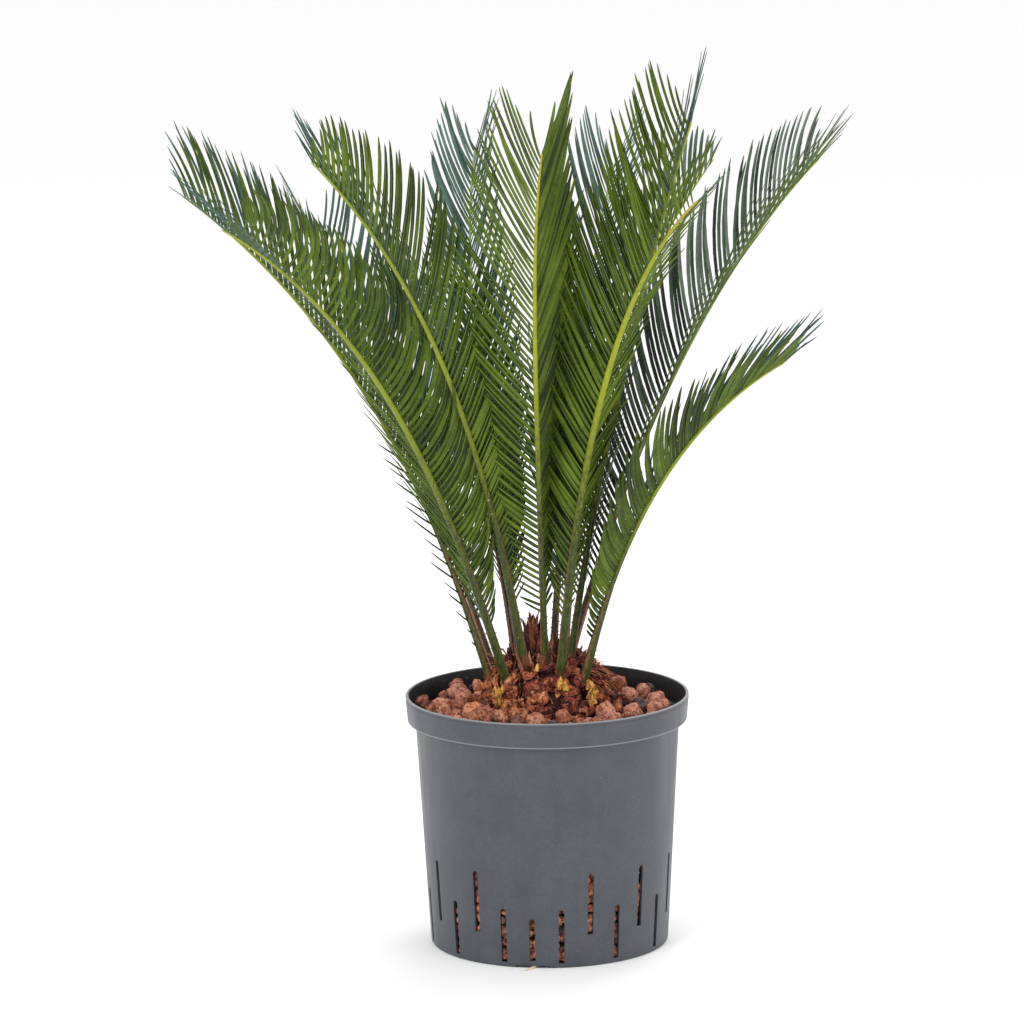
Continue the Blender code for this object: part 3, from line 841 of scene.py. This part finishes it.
# The tuft in the middle of the crown is a bundle of dry, brown scale leaves that stand up.
# They are stiff and pointed, and their tips curl. Shorter ones fill the crown between the petioles.
TUFT_PLACE = (-0.0105, -0.0025)
TUFT_FOOT = 0.2295
TUFT_TOP = 0.2680
TUFT_LEAVES = 22
CROWN_SCALES = 96
CROWN_RADIUS = 0.038

scale_finishes = [
    bark_finish("dry_scale_brown", paint(176, 106, 78), paint(108, 56, 42), 0.8),
    bark_finish("dry_scale_pale", paint(218, 160, 126), paint(158, 98, 74), 0.8),
    bark_finish("dry_scale_dark", paint(82, 44, 34), paint(38, 20, 16), 0.85),
]


def add_scale_leaf(batch, draw, foot, ahead, outward, length, width, curl, colour):
    """One dry scale leaf: a hollowed, pointed strip that is widest in its lower third."""
    aside = ahead.cross(outward).normalized()
    face = aside.cross(ahead).normalized()
    point = foot.copy()
    rings = []
    steps = 7
    for k in range(steps):
        share = k / steps
        half = width / 2 * (0.75 + 1.1 * share) if share < 0.25 else width / 2 * (1.33 * (1 - share)) ** 0.8
        hollow = half * 0.45
        rings.append([
            point - aside * half, point - face * hollow - face * 0.0002, point + aside * half,
            point - face * hollow * 0.2 + face * 0.0005,
        ])
        bend = Quaternion(aside, curl * (share**2) * 2.4 / steps)
        ahead, face = bend @ ahead, bend @ face
        point = point + ahead * length / steps
    rings.append([point])
    batch.tube(rings, lambda row, column: colour)


tuft = Batch()
tuft_draw = random.Random(77)
for number in range(TUFT_LEAVES):
    turn = number * GOLDEN_TURN
    out = Vector((math.cos(turn), math.sin(turn), 0))
    share = number / (TUFT_LEAVES - 1)
    foot = Vector((*TUFT_PLACE, TUFT_FOOT)) + out * (0.0012 + 0.0062 * share)
    ahead = (Vector((0, 0, 1)) + out * (0.02 + 0.10 * share)).normalized()
    length = (TUFT_TOP - TUFT_FOOT) * (1.02 - 0.30 * share) * tuft_draw.uniform(0.80, 1.04)
    colour = tuft_draw.choices((0, 1, 2), (5, 3, 3))[0]
    add_scale_leaf(tuft, tuft_draw, foot, ahead, out, length, tuft_draw.uniform(0.0046, 0.0072),
                   tuft_draw.uniform(-1.0, 1.3), colour)
scale_tuft = tuft.piece("crown_scale_tuft", scale_finishes, 60)
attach(scale_tuft, "root")
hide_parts("crown_tuft")

crown = Batch()
for number in range(CROWN_SCALES):
    share = (number + 0.5) / CROWN_SCALES
    turn = number * GOLDEN_TURN + 0.4
    radius = 0.006 + 0.032 * share**0.7
    height = 0.2325 - 0.014 * (radius / CROWN_RADIUS) ** 2.2
    out = Vector((math.cos(turn), math.sin(turn), 0))
    foot = Vector((CAUDEX_LEAN, 0, height - 0.004)) + out * radius
    ahead = (Vector((0, 0, 1)) + out * (0.1 + 0.9 * share) * tuft_draw.uniform(0.5, 1.2)).normalized()
    colour = tuft_draw.choices((0, 1, 2), (5, 3, 4))[0]
    add_scale_leaf(crown, tuft_draw, foot, ahead, out, tuft_draw.uniform(0.009, 0.017),
                   tuft_draw.uniform(0.0030, 0.0058), tuft_draw.uniform(-1.0, 0.7), colour)
crown_scales = crown.piece("crown_scales", scale_finishes, 60)
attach(crown_scales, "root")


# The fronds stand in a wide funnel. Each is a stout petiole with short thorns on its edges that goes on
# as the rib, with two rows of stiff, narrow leaflets raised like the sides of a V.
# A leaflet is leathery, dark and glossy above, olive with a paler midrib below, and ends in a brown point.
RIB_STEPS = 120
RIB_SIDES = 12


class Frond(NamedTuple):
    """The sizes of one frond. Angles are in degrees and headings are anticlockwise from +X.

    Left and right are as seen from the foot, along the frond. The rib leaves the trunk at the foot's
    radius, heading and height, leans out from lean_at_foot to lean_at_tip with its curve set by bend, and
    swings round by the sway. A leaflet's angle from the rib is its spread, raised is the angle of the two
    rows above the blade's plane, and roll turns the blade about its rib. Curl bends each leaflet, and
    straighter takes the curl away towards the tip. Shortening is the part of its length that a leaflet at
    the tip lacks, start is where the rows start, and quick is how soon they reach their full length.
    Slender is how much thinner the rib is along its middle than its foot promises.
    """

    name: str
    foot_radius: float
    foot_heading: float
    foot_height: float
    heading: float
    lean_at_foot: float
    lean_at_tip: float
    length: float
    bend: float
    sway: float
    leaflet: float
    spread_at_foot: float
    spread_at_tip: float
    raised: float
    roll_at_foot: float = 0
    roll_at_tip: float = 0
    curl_left: float = 16
    curl_right: float = 16
    shortening: float = 0.30
    pitch: float = 0.0066
    width: float = 0.0047
    stout: float = 1.0
    slender: float = 0.0
    rib: str = "green"
    upper: str = "grey"
    twist_left: float = 8
    start: float = 0.10
    quick: float = 3.0
    straighter: float = 0.0
    left_size: float = 1.0
    spurs: tuple = ()
    seed: int = 1


# A row of far-apart lowest leaflets: its turn round the rib in degrees, the first one's share of the rib,
# the gap between two, their count, and the lengths of the shortest and the longest
OUTER_SPURS = ((-72, 0.045, 0.0255, 15, 0.010, 0.026),)
# Each frond opens with its foot's radius, heading and height, its own heading, its lean at foot and tip,
# its length, bend and sway
FRONDS = (
    Frond("frond_left_outer", 0.045, 182, 0.212, 186, 17, 52.5, 0.450, 1.5, 2.5,
          leaflet=0.108, spread_at_foot=42, spread_at_tip=36, raised=48,
          roll_at_foot=4, roll_at_tip=0, curl_left=14, curl_right=14, shortening=0.30,
          width=0.0033, stout=1.15, spurs=OUTER_SPURS, start=0.13, pitch=0.0056, slender=0.4, seed=11),
    Frond("frond_left_front", 0.040, 222, 0.207, 215.5, 19.5, 61.5, 0.473, 1.75, 6.5,
          leaflet=0.092, spread_at_foot=34, spread_at_tip=44, raised=27,
          roll_at_foot=34, roll_at_tip=-4, curl_left=52, curl_right=8, shortening=0.15,
          stout=1.1, width=0.0038, start=0.105, quick=3.6, pitch=0.0056, slender=0.15, seed=12),
    Frond("frond_front_left", 0.032, 235, 0.231, 235.5, 15.5, 54.5, 0.497, 1.3, -0.5,
          leaflet=0.104, spread_at_foot=46, spread_at_tip=26, raised=58,
          roll_at_foot=10, roll_at_tip=-6, curl_left=15, curl_right=10, shortening=0.50,
          stout=1.05, width=0.0044, start=0.085, quick=2.4, pitch=0.0062, slender=0.3, seed=13),
    Frond("frond_front", 0.031, 267, 0.232, 265, 14.5, 49, 0.487, 1.3, 10.5,
          leaflet=0.106, spread_at_foot=72, spread_at_tip=20, raised=48,
          roll_at_foot=27, roll_at_tip=8, curl_left=14, curl_right=14, shortening=0.13,
          rib="golden", twist_left=-46, width=0.0052, start=0.075, quick=1.9,
          stout=0.82, slender=0.1, seed=14),
    Frond("frond_front_right", 0.037, 286, 0.220, 294, 13, 63, 0.483, 1.55, -1,
          leaflet=0.100, spread_at_foot=50, spread_at_tip=42, raised=48,
          roll_at_foot=-12, roll_at_tip=-16, curl_left=4, curl_right=18, shortening=0.30,
          stout=0.98, width=0.0050, twist_left=-4, rib="golden", start=0.09, quick=2.4,
          left_size=0.60, seed=15),
    Frond("frond_front_right_inner", 0.026, 316, 0.230, 306, 13.5, 37, 0.475, 1.3, -15.5,
          leaflet=0.106, spread_at_foot=50, spread_at_tip=34, raised=58,
          roll_at_foot=-20, roll_at_tip=12, curl_left=15, curl_right=15, shortening=0.34,
          stout=0.85, width=0.0048, slender=0.2, seed=16),
    Frond("frond_right_low", 0.036, 318, 0.208, 330, 16.5, 61, 0.328, 1.5, -4.5,
          leaflet=0.084, spread_at_foot=54, spread_at_tip=20, raised=28,
          roll_at_foot=8, roll_at_tip=12, curl_left=24, curl_right=42, shortening=0.24,
          pitch=0.0049, width=0.0043, stout=1.4, start=0.115, quick=2.0,
          straighter=0.8, slender=0.6, seed=17),
    Frond("frond_right_inner", 0.016, 18, 0.232, 19.5, 4.5, 40.5, 0.399, 1.5, 3.5,
          leaflet=0.064, spread_at_foot=46, spread_at_tip=30, raised=48,
          pitch=0.0060, width=0.0042, stout=0.75, upper="deep", slender=0.4, seed=18),
    Frond("frond_right_back", 0.027, 37, 0.233, 40, 23.5, 64.5, 0.463, 1.5, 12,
          leaflet=0.100, spread_at_foot=46, spread_at_tip=21, raised=48,
          roll_at_foot=4, roll_at_tip=-6, curl_left=20, curl_right=20, shortening=0.30,
          rib="pale", upper="deep", width=0.0036, pitch=0.0062, slender=0.45, seed=19),
    Frond("frond_back_right", 0.013, 65, 0.226, 75.5, 15, 64, 0.450, 1.2, 5,
          leaflet=0.098, spread_at_foot=46, spread_at_tip=25, raised=48,
          roll_at_foot=6, roll_at_tip=-4, curl_left=15, curl_right=15, shortening=0.20,
          width=0.0048, stout=0.85, rib="pale", slender=0.4, seed=20),
    Frond("frond_back", 0.036, 134, 0.224, 104.5, 30, 52.5, 0.468, 1.25, -21,
          leaflet=0.093, spread_at_foot=42, spread_at_tip=19, raised=42,
          roll_at_foot=6, roll_at_tip=-20, curl_left=15, curl_right=15, shortening=0.14,
          width=0.0044, stout=0.85, rib="pale", slender=0.4, seed=21),
    Frond("frond_back_left", 0.044, 158, 0.212, 134.5, 27, 50, 0.393, 1.4, -18,
          leaflet=0.094, spread_at_foot=44, spread_at_tip=32, raised=50,
          shortening=0.08, width=0.0042, stout=0.85, rib="pale", slender=0.4, seed=22),
    Frond("frond_back_left_inner", 0.026, 168, 0.229, 160, 8, 40, 0.310, 1.5, 0,
          leaflet=0.074, spread_at_foot=45, spread_at_tip=32, raised=48,
          pitch=0.0060, width=0.0040, stout=0.75, rib="pale", slender=0.4, seed=23),
)


def rib_finish(name, petiole, middle, tip, browning):
    """A rib's skin: waxy and green, yellower towards the tip, and brown where it leaves the trunk."""
    skin = Finish(name, Specular_IOR_Level=0.3)
    along = skin.node("ShaderNodeAttribute", {"attribute_name": "along"}, {}, "Fac")
    blush = skin.cloud(90, 3, 0.6)
    spots = skin.between(skin.cloud(520, 2), 0.66, 0.74)
    colour = skin.ramp(along, (0.0, paint(112, 70, 44)), (0.004, paint(84, 70, 36)),
                       (0.010, petiole), (0.22, petiole), (0.55, middle), (0.85, middle), (1.0, tip))
    colour = skin.mixed(skin.between(blush, 0.45, 0.75) * 0.30, colour, paint(96, 92, 40))
    edge = skin.node("ShaderNodeAttribute", {"attribute_name": "edge"}, {}, "Fac")
    fleck = skin.cloud(1, 3, 0.7, skin.place(900, 900, 160))
    streaks = skin.between(skin.cloud(1, 4, 0.7, skin.place(620, 620, 90)), 0.44, 0.60)
    low = skin.between(along, 0.24, 0.50, 0.75, 0.12)
    colour = skin.mixed(streaks * low, colour, paint(26, 36, 10))
    brown = skin.between(edge + fleck * 0.8, 1.15, 1.45) * skin.between(along, 0.20, 0.32, browning, 0.0)
    colour = skin.mixed(brown, colour, skin.mixed(fleck, paint(96, 52, 30), paint(176, 122, 92)))
    skin.give("Base Color", skin.mixed(spots * 0.45, colour, paint(196, 180, 130)))
    skin.give("Roughness", skin.between(blush, 0.3, 0.7, 0.34, 0.5))
    skin.relief(skin.cloud(1, 2, 0.5, skin.place(700, 700, 60)), 0.0002)
    return skin


def leaf_finish(name, light, dark, roughness, sheen_spots):
    """A leaflet's face: leathery, with an uneven green and a gloss that breaks up along it."""
    leaf = Finish(name, Specular_IOR_Level=0.24)
    patches = leaf.cloud(26, 3, 0.6)
    grain = leaf.cloud(330, 3, 0.6)
    leaf.give("Base Color", leaf.mixed(leaf.between(patches * 0.7 + grain * 0.3, 0.38, 0.62), dark, light))
    leaf.give("Roughness", leaf.between(grain, 0.3, 0.7, roughness - sheen_spots, roughness + sheen_spots))
    leaf.relief(grain, 0.00015)
    return leaf


rib_skins = {
    "green": rib_finish("rib_green", paint(60, 74, 12), paint(128, 142, 30), paint(154, 164, 44), 0.55),
    "golden": rib_finish("rib_golden", paint(62, 76, 14), paint(150, 156, 24), paint(184, 158, 28), 0.70),
    "pale": rib_finish("rib_pale", paint(92, 66, 46), paint(124, 150, 60), paint(168, 184, 98), 0.9),
}
# Each leaf face comes as a light, a mid and a dark copy. The light copies are painted light and the dark
# ones painted shade: add_leaflet deals the dark ones more often near a frond's foot, inside the crown, and
# the light ones near its tip.
leaves_below = [
    leaf_finish("leaf_below_light", paint(94, 114, 24), paint(66, 86, 8), 0.50, 0.08),
    leaf_finish("leaf_below_mid", paint(70, 90, 10), paint(46, 64, 2), 0.52, 0.08),
    leaf_finish("leaf_below_dark", paint(44, 62, 4), paint(24, 38, 0), 0.54, 0.08),
]
leaves_above = {
    # The grey set is painted paler and greyer than the leaf's own dark green: a painted reflection of the
    # white studio in the gloss.
    "grey": [
        leaf_finish("leaf_above_light", paint(78, 106, 92), paint(58, 86, 72), 0.36, 0.07),
        leaf_finish("leaf_above_mid", paint(64, 92, 78), paint(46, 72, 58), 0.36, 0.07),
        leaf_finish("leaf_above_dark", paint(50, 76, 62), paint(34, 58, 44), 0.38, 0.07),
    ],
    "deep": [
        leaf_finish("leaf_deep_light", paint(104, 120, 102), paint(80, 96, 80), 0.36, 0.07),
        leaf_finish("leaf_deep_mid", paint(74, 92, 72), paint(52, 70, 50), 0.36, 0.07),
        leaf_finish("leaf_deep_dark", paint(40, 56, 36), paint(20, 34, 20), 0.38, 0.07),
    ],
}
leaf_midrib = leaf_finish("leaf_midrib", paint(104, 122, 40), paint(74, 92, 20), 0.46, 0.06)
leaf_point = leaf_finish("leaf_point", paint(62, 56, 26), paint(34, 32, 16), 0.6, 0.08)
LIGHT, MID, SHADED = range(3)
ABOVE, MIDRIB, POINT = 3, 6, 7
LEAF_SHAPE = ((0, 0.50), (0.05, 0.82), (0.15, 1.0), (0.32, 1.0), (0.50, 1.0), (0.67, 0.94),
              (0.80, 0.82), (0.90, 0.60), (0.96, 0.34), (1.0, 0.0))
LEAF_SECTION = ((-1.0, -0.00034), (0.0, 0.00026), (1.0, -0.00034), (0.24, -0.00010), (0.0, -0.00052),
                (-0.24, -0.00010))


def rib_line(frond):
    """Points of the frond's rib with its frame: place, along, sideways and inward, at even steps."""
    a = math.radians(frond.foot_heading)
    place = Vector((frond.foot_radius * math.cos(a), frond.foot_radius * math.sin(a), frond.foot_height))
    line = []
    step = frond.length / RIB_STEPS
    for k in range(RIB_STEPS + 1):
        share = k / RIB_STEPS
        lean = frond.lean_at_foot + (frond.lean_at_tip - frond.lean_at_foot) * share**frond.bend
        lean = math.radians(lean)
        head = math.radians(frond.heading + frond.sway * share**1.5)
        along = Vector((math.sin(lean) * math.cos(head), math.sin(lean) * math.sin(head), math.cos(lean)))
        sideways = Vector((-math.sin(head), math.cos(head), 0))
        inward = along.cross(sideways)
        line.append((place.copy(), along, sideways, inward))
        place += along * step
    return line


def rolled(frond, station, u):
    """The across and upward ways of the blade at a station, with the frond's roll."""
    _, _, sideways, inward = station
    roll = math.radians(frond.roll_at_foot + (frond.roll_at_tip - frond.roll_at_foot) * max(0.0, u))
    across = sideways * math.cos(roll) + inward * math.sin(roll)
    return across, inward * math.cos(roll) - sideways * math.sin(roll)


def station_at(line, share):
    """The rib's place and frame at any share of its length."""
    at = min(share * RIB_STEPS, RIB_STEPS - 0.001)
    k = int(at)
    return [low.lerp(high, at - k) for low, high in zip(line[k], line[k + 1])]


def leaflet_length(frond, u):
    """Leaflets are short where the blade starts, longest along its middle, and shorter at its tip."""
    rise = min(1.0, 0.16 + frond.quick * u, 0.62 + 0.85 * u)
    fall = 1 - frond.shortening * max(0.0, (u - 0.6) / 0.4) ** 1.6
    return frond.leaflet * rise * fall * min(1.0, 0.35 + 0.65 * (1 - u) / 0.06)


def rib_size(frond, share):
    """The rib's half width and half thickness at a share of its length."""
    rib = 0.0022 * (1 - frond.slender)
    foot = (0.0028 - rib) * max(0.0, 1 - share / 0.26) ** 0.8
    half_width = (0.0008 + rib * (1 - share**2) + foot) * frond.stout
    return half_width, half_width * 0.92


def build_rib(frond, line, draw):
    """The petiole and rib as one tapered stalk, spread at its foot, with thorns on its edges."""
    batch = Batch()
    rings, marks = [], []
    place, along, _, _ = line[0]
    across, upward = rolled(frond, line[0], 0)
    for back, wide, thick in ((0.010, 1.7, 1.1), (0.006, 1.5, 1.2), (0.003, 1.3, 1.15)):
        half_width, half_thickness = rib_size(frond, 0)
        middle = place - along * back + upward * back * 0.12
        rings.append(ring_of(middle, across, upward, half_width * wide, half_thickness * thick, RIB_SIDES))
        marks.append(0.0)
    for k, station in enumerate(line):
        share = k / RIB_STEPS
        u = (share - frond.start) / (1 - frond.start)
        across, upward = rolled(frond, station, u)
        half_width, half_thickness = rib_size(frond, share)
        spread = 1 + 0.20 * max(0.0, 1 - share / 0.03)
        ring = ring_of(station[0], across, upward, half_width * spread, half_thickness, RIB_SIDES)
        for column, corner in enumerate(ring):
            rise = (corner - station[0]).dot(upward)
            if rise > 0:
                ring[column] = corner - upward * rise * 0.35
        rings.append(ring)
        marks.append(share)
    rings.append([line[-1][0] + line[-1][1] * 0.002])
    marks.append(1.0)
    edges = [abs(math.cos(math.tau * k / RIB_SIDES)) for k in range(RIB_SIDES)]
    batch.tube(rings, lambda row, column: 0, marks, edges)
    for side in (-1, 1):
        share = 0.025 + draw.uniform(0, 0.01)
        while share < frond.start - 0.005:
            station = station_at(line, share)
            across, upward = rolled(frond, station, 0)
            half_width, _ = rib_size(frond, share)
            foot = station[0] + across * side * half_width * 0.85
            ahead = (across * side + station[1] * draw.uniform(0.5, 1.1)).normalized()
            length = 0.0012 + 0.0022 * share / frond.start * draw.uniform(0.7, 1.2)
            base = ring_of(foot, station[1], upward, 0.0007, 0.0005, 4)
            batch.tube([base, [foot + ahead * length]], lambda row, column: 1)
            share += draw.uniform(0.011, 0.018)
    return batch


def add_spurs(batch, frond, line, draw):
    """The lowest leaflets: short, narrow, and far apart, in one row that has its own turn round the rib."""
    for turn, first, gap, count, short, long in frond.spurs:
        for number in range(count):
            share = first + gap * (number + draw.uniform(-0.15, 0.15))
            place, along, _, _ = station = station_at(line, share)
            across, upward = rolled(frond, station, 0)
            length = (short + (long - short) * min(1.0, number / 6)) * draw.uniform(0.80, 1.15)
            half = 0.0014 * draw.uniform(0.8, 1.1)
            aside = across * math.cos(math.radians(turn)) + upward * math.sin(math.radians(turn))
            ahead = (along * 0.80 + aside * draw.uniform(0.52, 0.66)).normalized()
            flat = ahead.cross(aside).normalized()
            rings = []
            for reach, wide in ((0.0, 0.7), (0.25, 1.0), (0.60, 0.85), (0.85, 0.5)):
                middle = place + ahead * length * reach + along * length * 0.12 * reach**2
                rings.append(ring_of(middle, flat, aside, half * wide, half * wide * 0.6, 6))
            rings.append([place + ahead * length + along * length * 0.12])
            batch.tube(rings, lambda row, column: POINT if row > 2 else SHADED)


def add_leaflet(batch, frond, station, u, side, draw):
    """One leaflet on one side of the rib."""
    place, along, _, _ = station
    across, upward = rolled(frond, station, u)
    raised = math.radians(frond.raised + draw.gauss(0, 2.2))
    out = across * side * math.cos(raised) + upward * math.sin(raised)
    face = along.cross(out) * side
    spread = frond.spread_at_foot + (frond.spread_at_tip - frond.spread_at_foot) * u**0.8
    spread += draw.gauss(0, 1.1)
    curl = frond.curl_left if side > 0 else frond.curl_right
    curl *= min(1.0, 0.3 + 6 * u) * (1 - frond.straighter * u)
    length = leaflet_length(frond, u) * draw.uniform(0.965, 1.03) * (frond.left_size if side > 0 else 1)
    lift = math.radians(draw.gauss(0, 2.5))
    twist = math.radians(draw.gauss(frond.twist_left if side > 0 else 8, 7)) * side
    # Painted shade and light: darker copies are dealt more often near the frond's foot, most on deep fronds,
    # and lighter copies near its tip.
    shadow = 9.0 if frond.upper == "deep" else 3.6
    shade = draw.choices((LIGHT, MID, SHADED), (1.5 + 4.0 * u, 5.0, 1.2 + shadow * (1 - u)))[0]
    width = frond.width / 2 * min(1.0, 0.55 + 0.72 * leaflet_length(frond, u) / frond.leaflet)
    width *= (1 - 0.34 * u**1.5) * min(1.0, 0.72 + 1.6 * u)
    point = place.copy()
    rings = []
    before = 0.0
    for share, wide in LEAF_SHAPE:
        middle = (before + share) / 2
        angle = math.radians(spread + curl * (0.5 - middle))
        ahead = along * math.cos(angle) + out * math.sin(angle)
        ahead = (ahead + face * math.sin(lift) * middle * 1.5).normalized()
        point = point + ahead * length * (share - before)
        before = share
        if wide == 0:
            rings.append([point])
            break
        normal = Quaternion(ahead, twist * (1 - 0.25 * share)) @ face
        sidewise = ahead.cross(normal).normalized()
        normal = sidewise.cross(ahead)
        half = width * wide
        depth = 0.35 + 0.65 * wide
        rings.append([point + sidewise * half * x + normal * z * depth for x, z in LEAF_SECTION])

    def kind(row, column):
        if row >= len(LEAF_SHAPE) - 2:
            return POINT
        if column in (3, 4):
            return MIDRIB
        return ABOVE + shade if column in (0, 1) else shade

    batch.tube(rings, kind)


for frond in FRONDS:
    draw = random.Random(frond.seed)
    line = rib_line(frond)
    rib = build_rib(frond, line, draw).piece(frond.name + "_rib", [rib_skins[frond.rib], barks[MAROON]], 60)
    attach(rib, "root")
    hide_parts(frond.name)
    blade = Batch()
    count = round(frond.length * (1 - frond.start) / frond.pitch)
    for side in (-1, 1):
        for number in range(count):
            row_share = (number + (0.25 if side < 0 else 0.75)) / count
            u = 0.8 * row_share + 0.2 * row_share**2
            share = frond.start + (1 - frond.start) * u
            add_leaflet(blade, frond, station_at(line, share), u, side, draw)
    add_spurs(blade, frond, line, draw)
    skins = leaves_below + leaves_above[frond.upper] + [leaf_midrib, leaf_point]
    leaflets = blade.piece(frond.name + "_leaflets", skins, 40)
    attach(leaflets, "root")


# The studio: a pale floor that runs back out of sight, soft lights on both sides and above, and the camera.
# The camera stands 4.4 m away and looks a little down, as for a picture in a plant catalogue.
TARGET = Vector((-0.0255, 0, 0.3391))
DISTANCE = 4.433
ELEVATION = math.radians(10.77)
ROLL = math.radians(-0.70)
LENS = 202
SENSOR_WIDTH = 36
FLOOR_REACH = 30
PANELS_AIM = Vector((0, 0, 0.35))

floor_paper = Finish("floor_paper", Roughness=0.9, Base_Color=(0.97, 0.97, 0.97, 1))
floor_mesh = bmesh.new()
bmesh.ops.create_grid(floor_mesh, x_segments=1, y_segments=1, size=FLOOR_REACH)
floor = place_mesh("studio_floor", floor_mesh, floor_paper)

world = bpy.data.worlds.new("studio")
world.use_nodes = True
world.node_tree.nodes["Background"].inputs["Color"].default_value = (1.0, 1.0, 1.0, 1)
world.node_tree.nodes["Background"].inputs["Strength"].default_value = 1.0
bpy.context.scene.world = world


def soft_light(name, place, size, power):
    """A square light panel that faces the plant."""
    lamp = bpy.data.lights.new(name, "AREA")
    lamp.size = size
    lamp.energy = power
    panel = bpy.data.objects.new(name, lamp)
    panel.location = place
    panel.rotation_euler = (PANELS_AIM - Vector(place)).to_track_quat("-Z", "Y").to_euler()
    bpy.context.scene.collection.objects.link(panel)


soft_light("key_panel", (-1.5, -2.3, 2.1), 1.0, 30)
soft_light("fill_panel", (2.1, -1.7, 1.3), 1.4, 12)
soft_light("top_panel", (0.3, 0.9, 2.4), 1.0, 22)

camera_data = bpy.data.cameras.new("camera")
camera_data.lens = LENS
camera_data.sensor_width = SENSOR_WIDTH
camera = bpy.data.objects.new("camera", camera_data)
look = Vector((0, math.cos(ELEVATION), -math.sin(ELEVATION)))
level_right = Vector((1, 0, 0))
level_up = Vector((0, math.sin(ELEVATION), math.cos(ELEVATION)))
right = level_right * math.cos(ROLL) + level_up * math.sin(ROLL)
up = level_up * math.cos(ROLL) - level_right * math.sin(ROLL)
stance = Matrix((right, up, -look)).transposed().to_4x4()
camera.matrix_world = Matrix.Translation(TARGET - look * DISTANCE) @ stance
bpy.context.scene.collection.objects.link(camera)
bpy.context.scene.camera = camera
bpy.context.scene.view_settings.view_transform = "Standard"
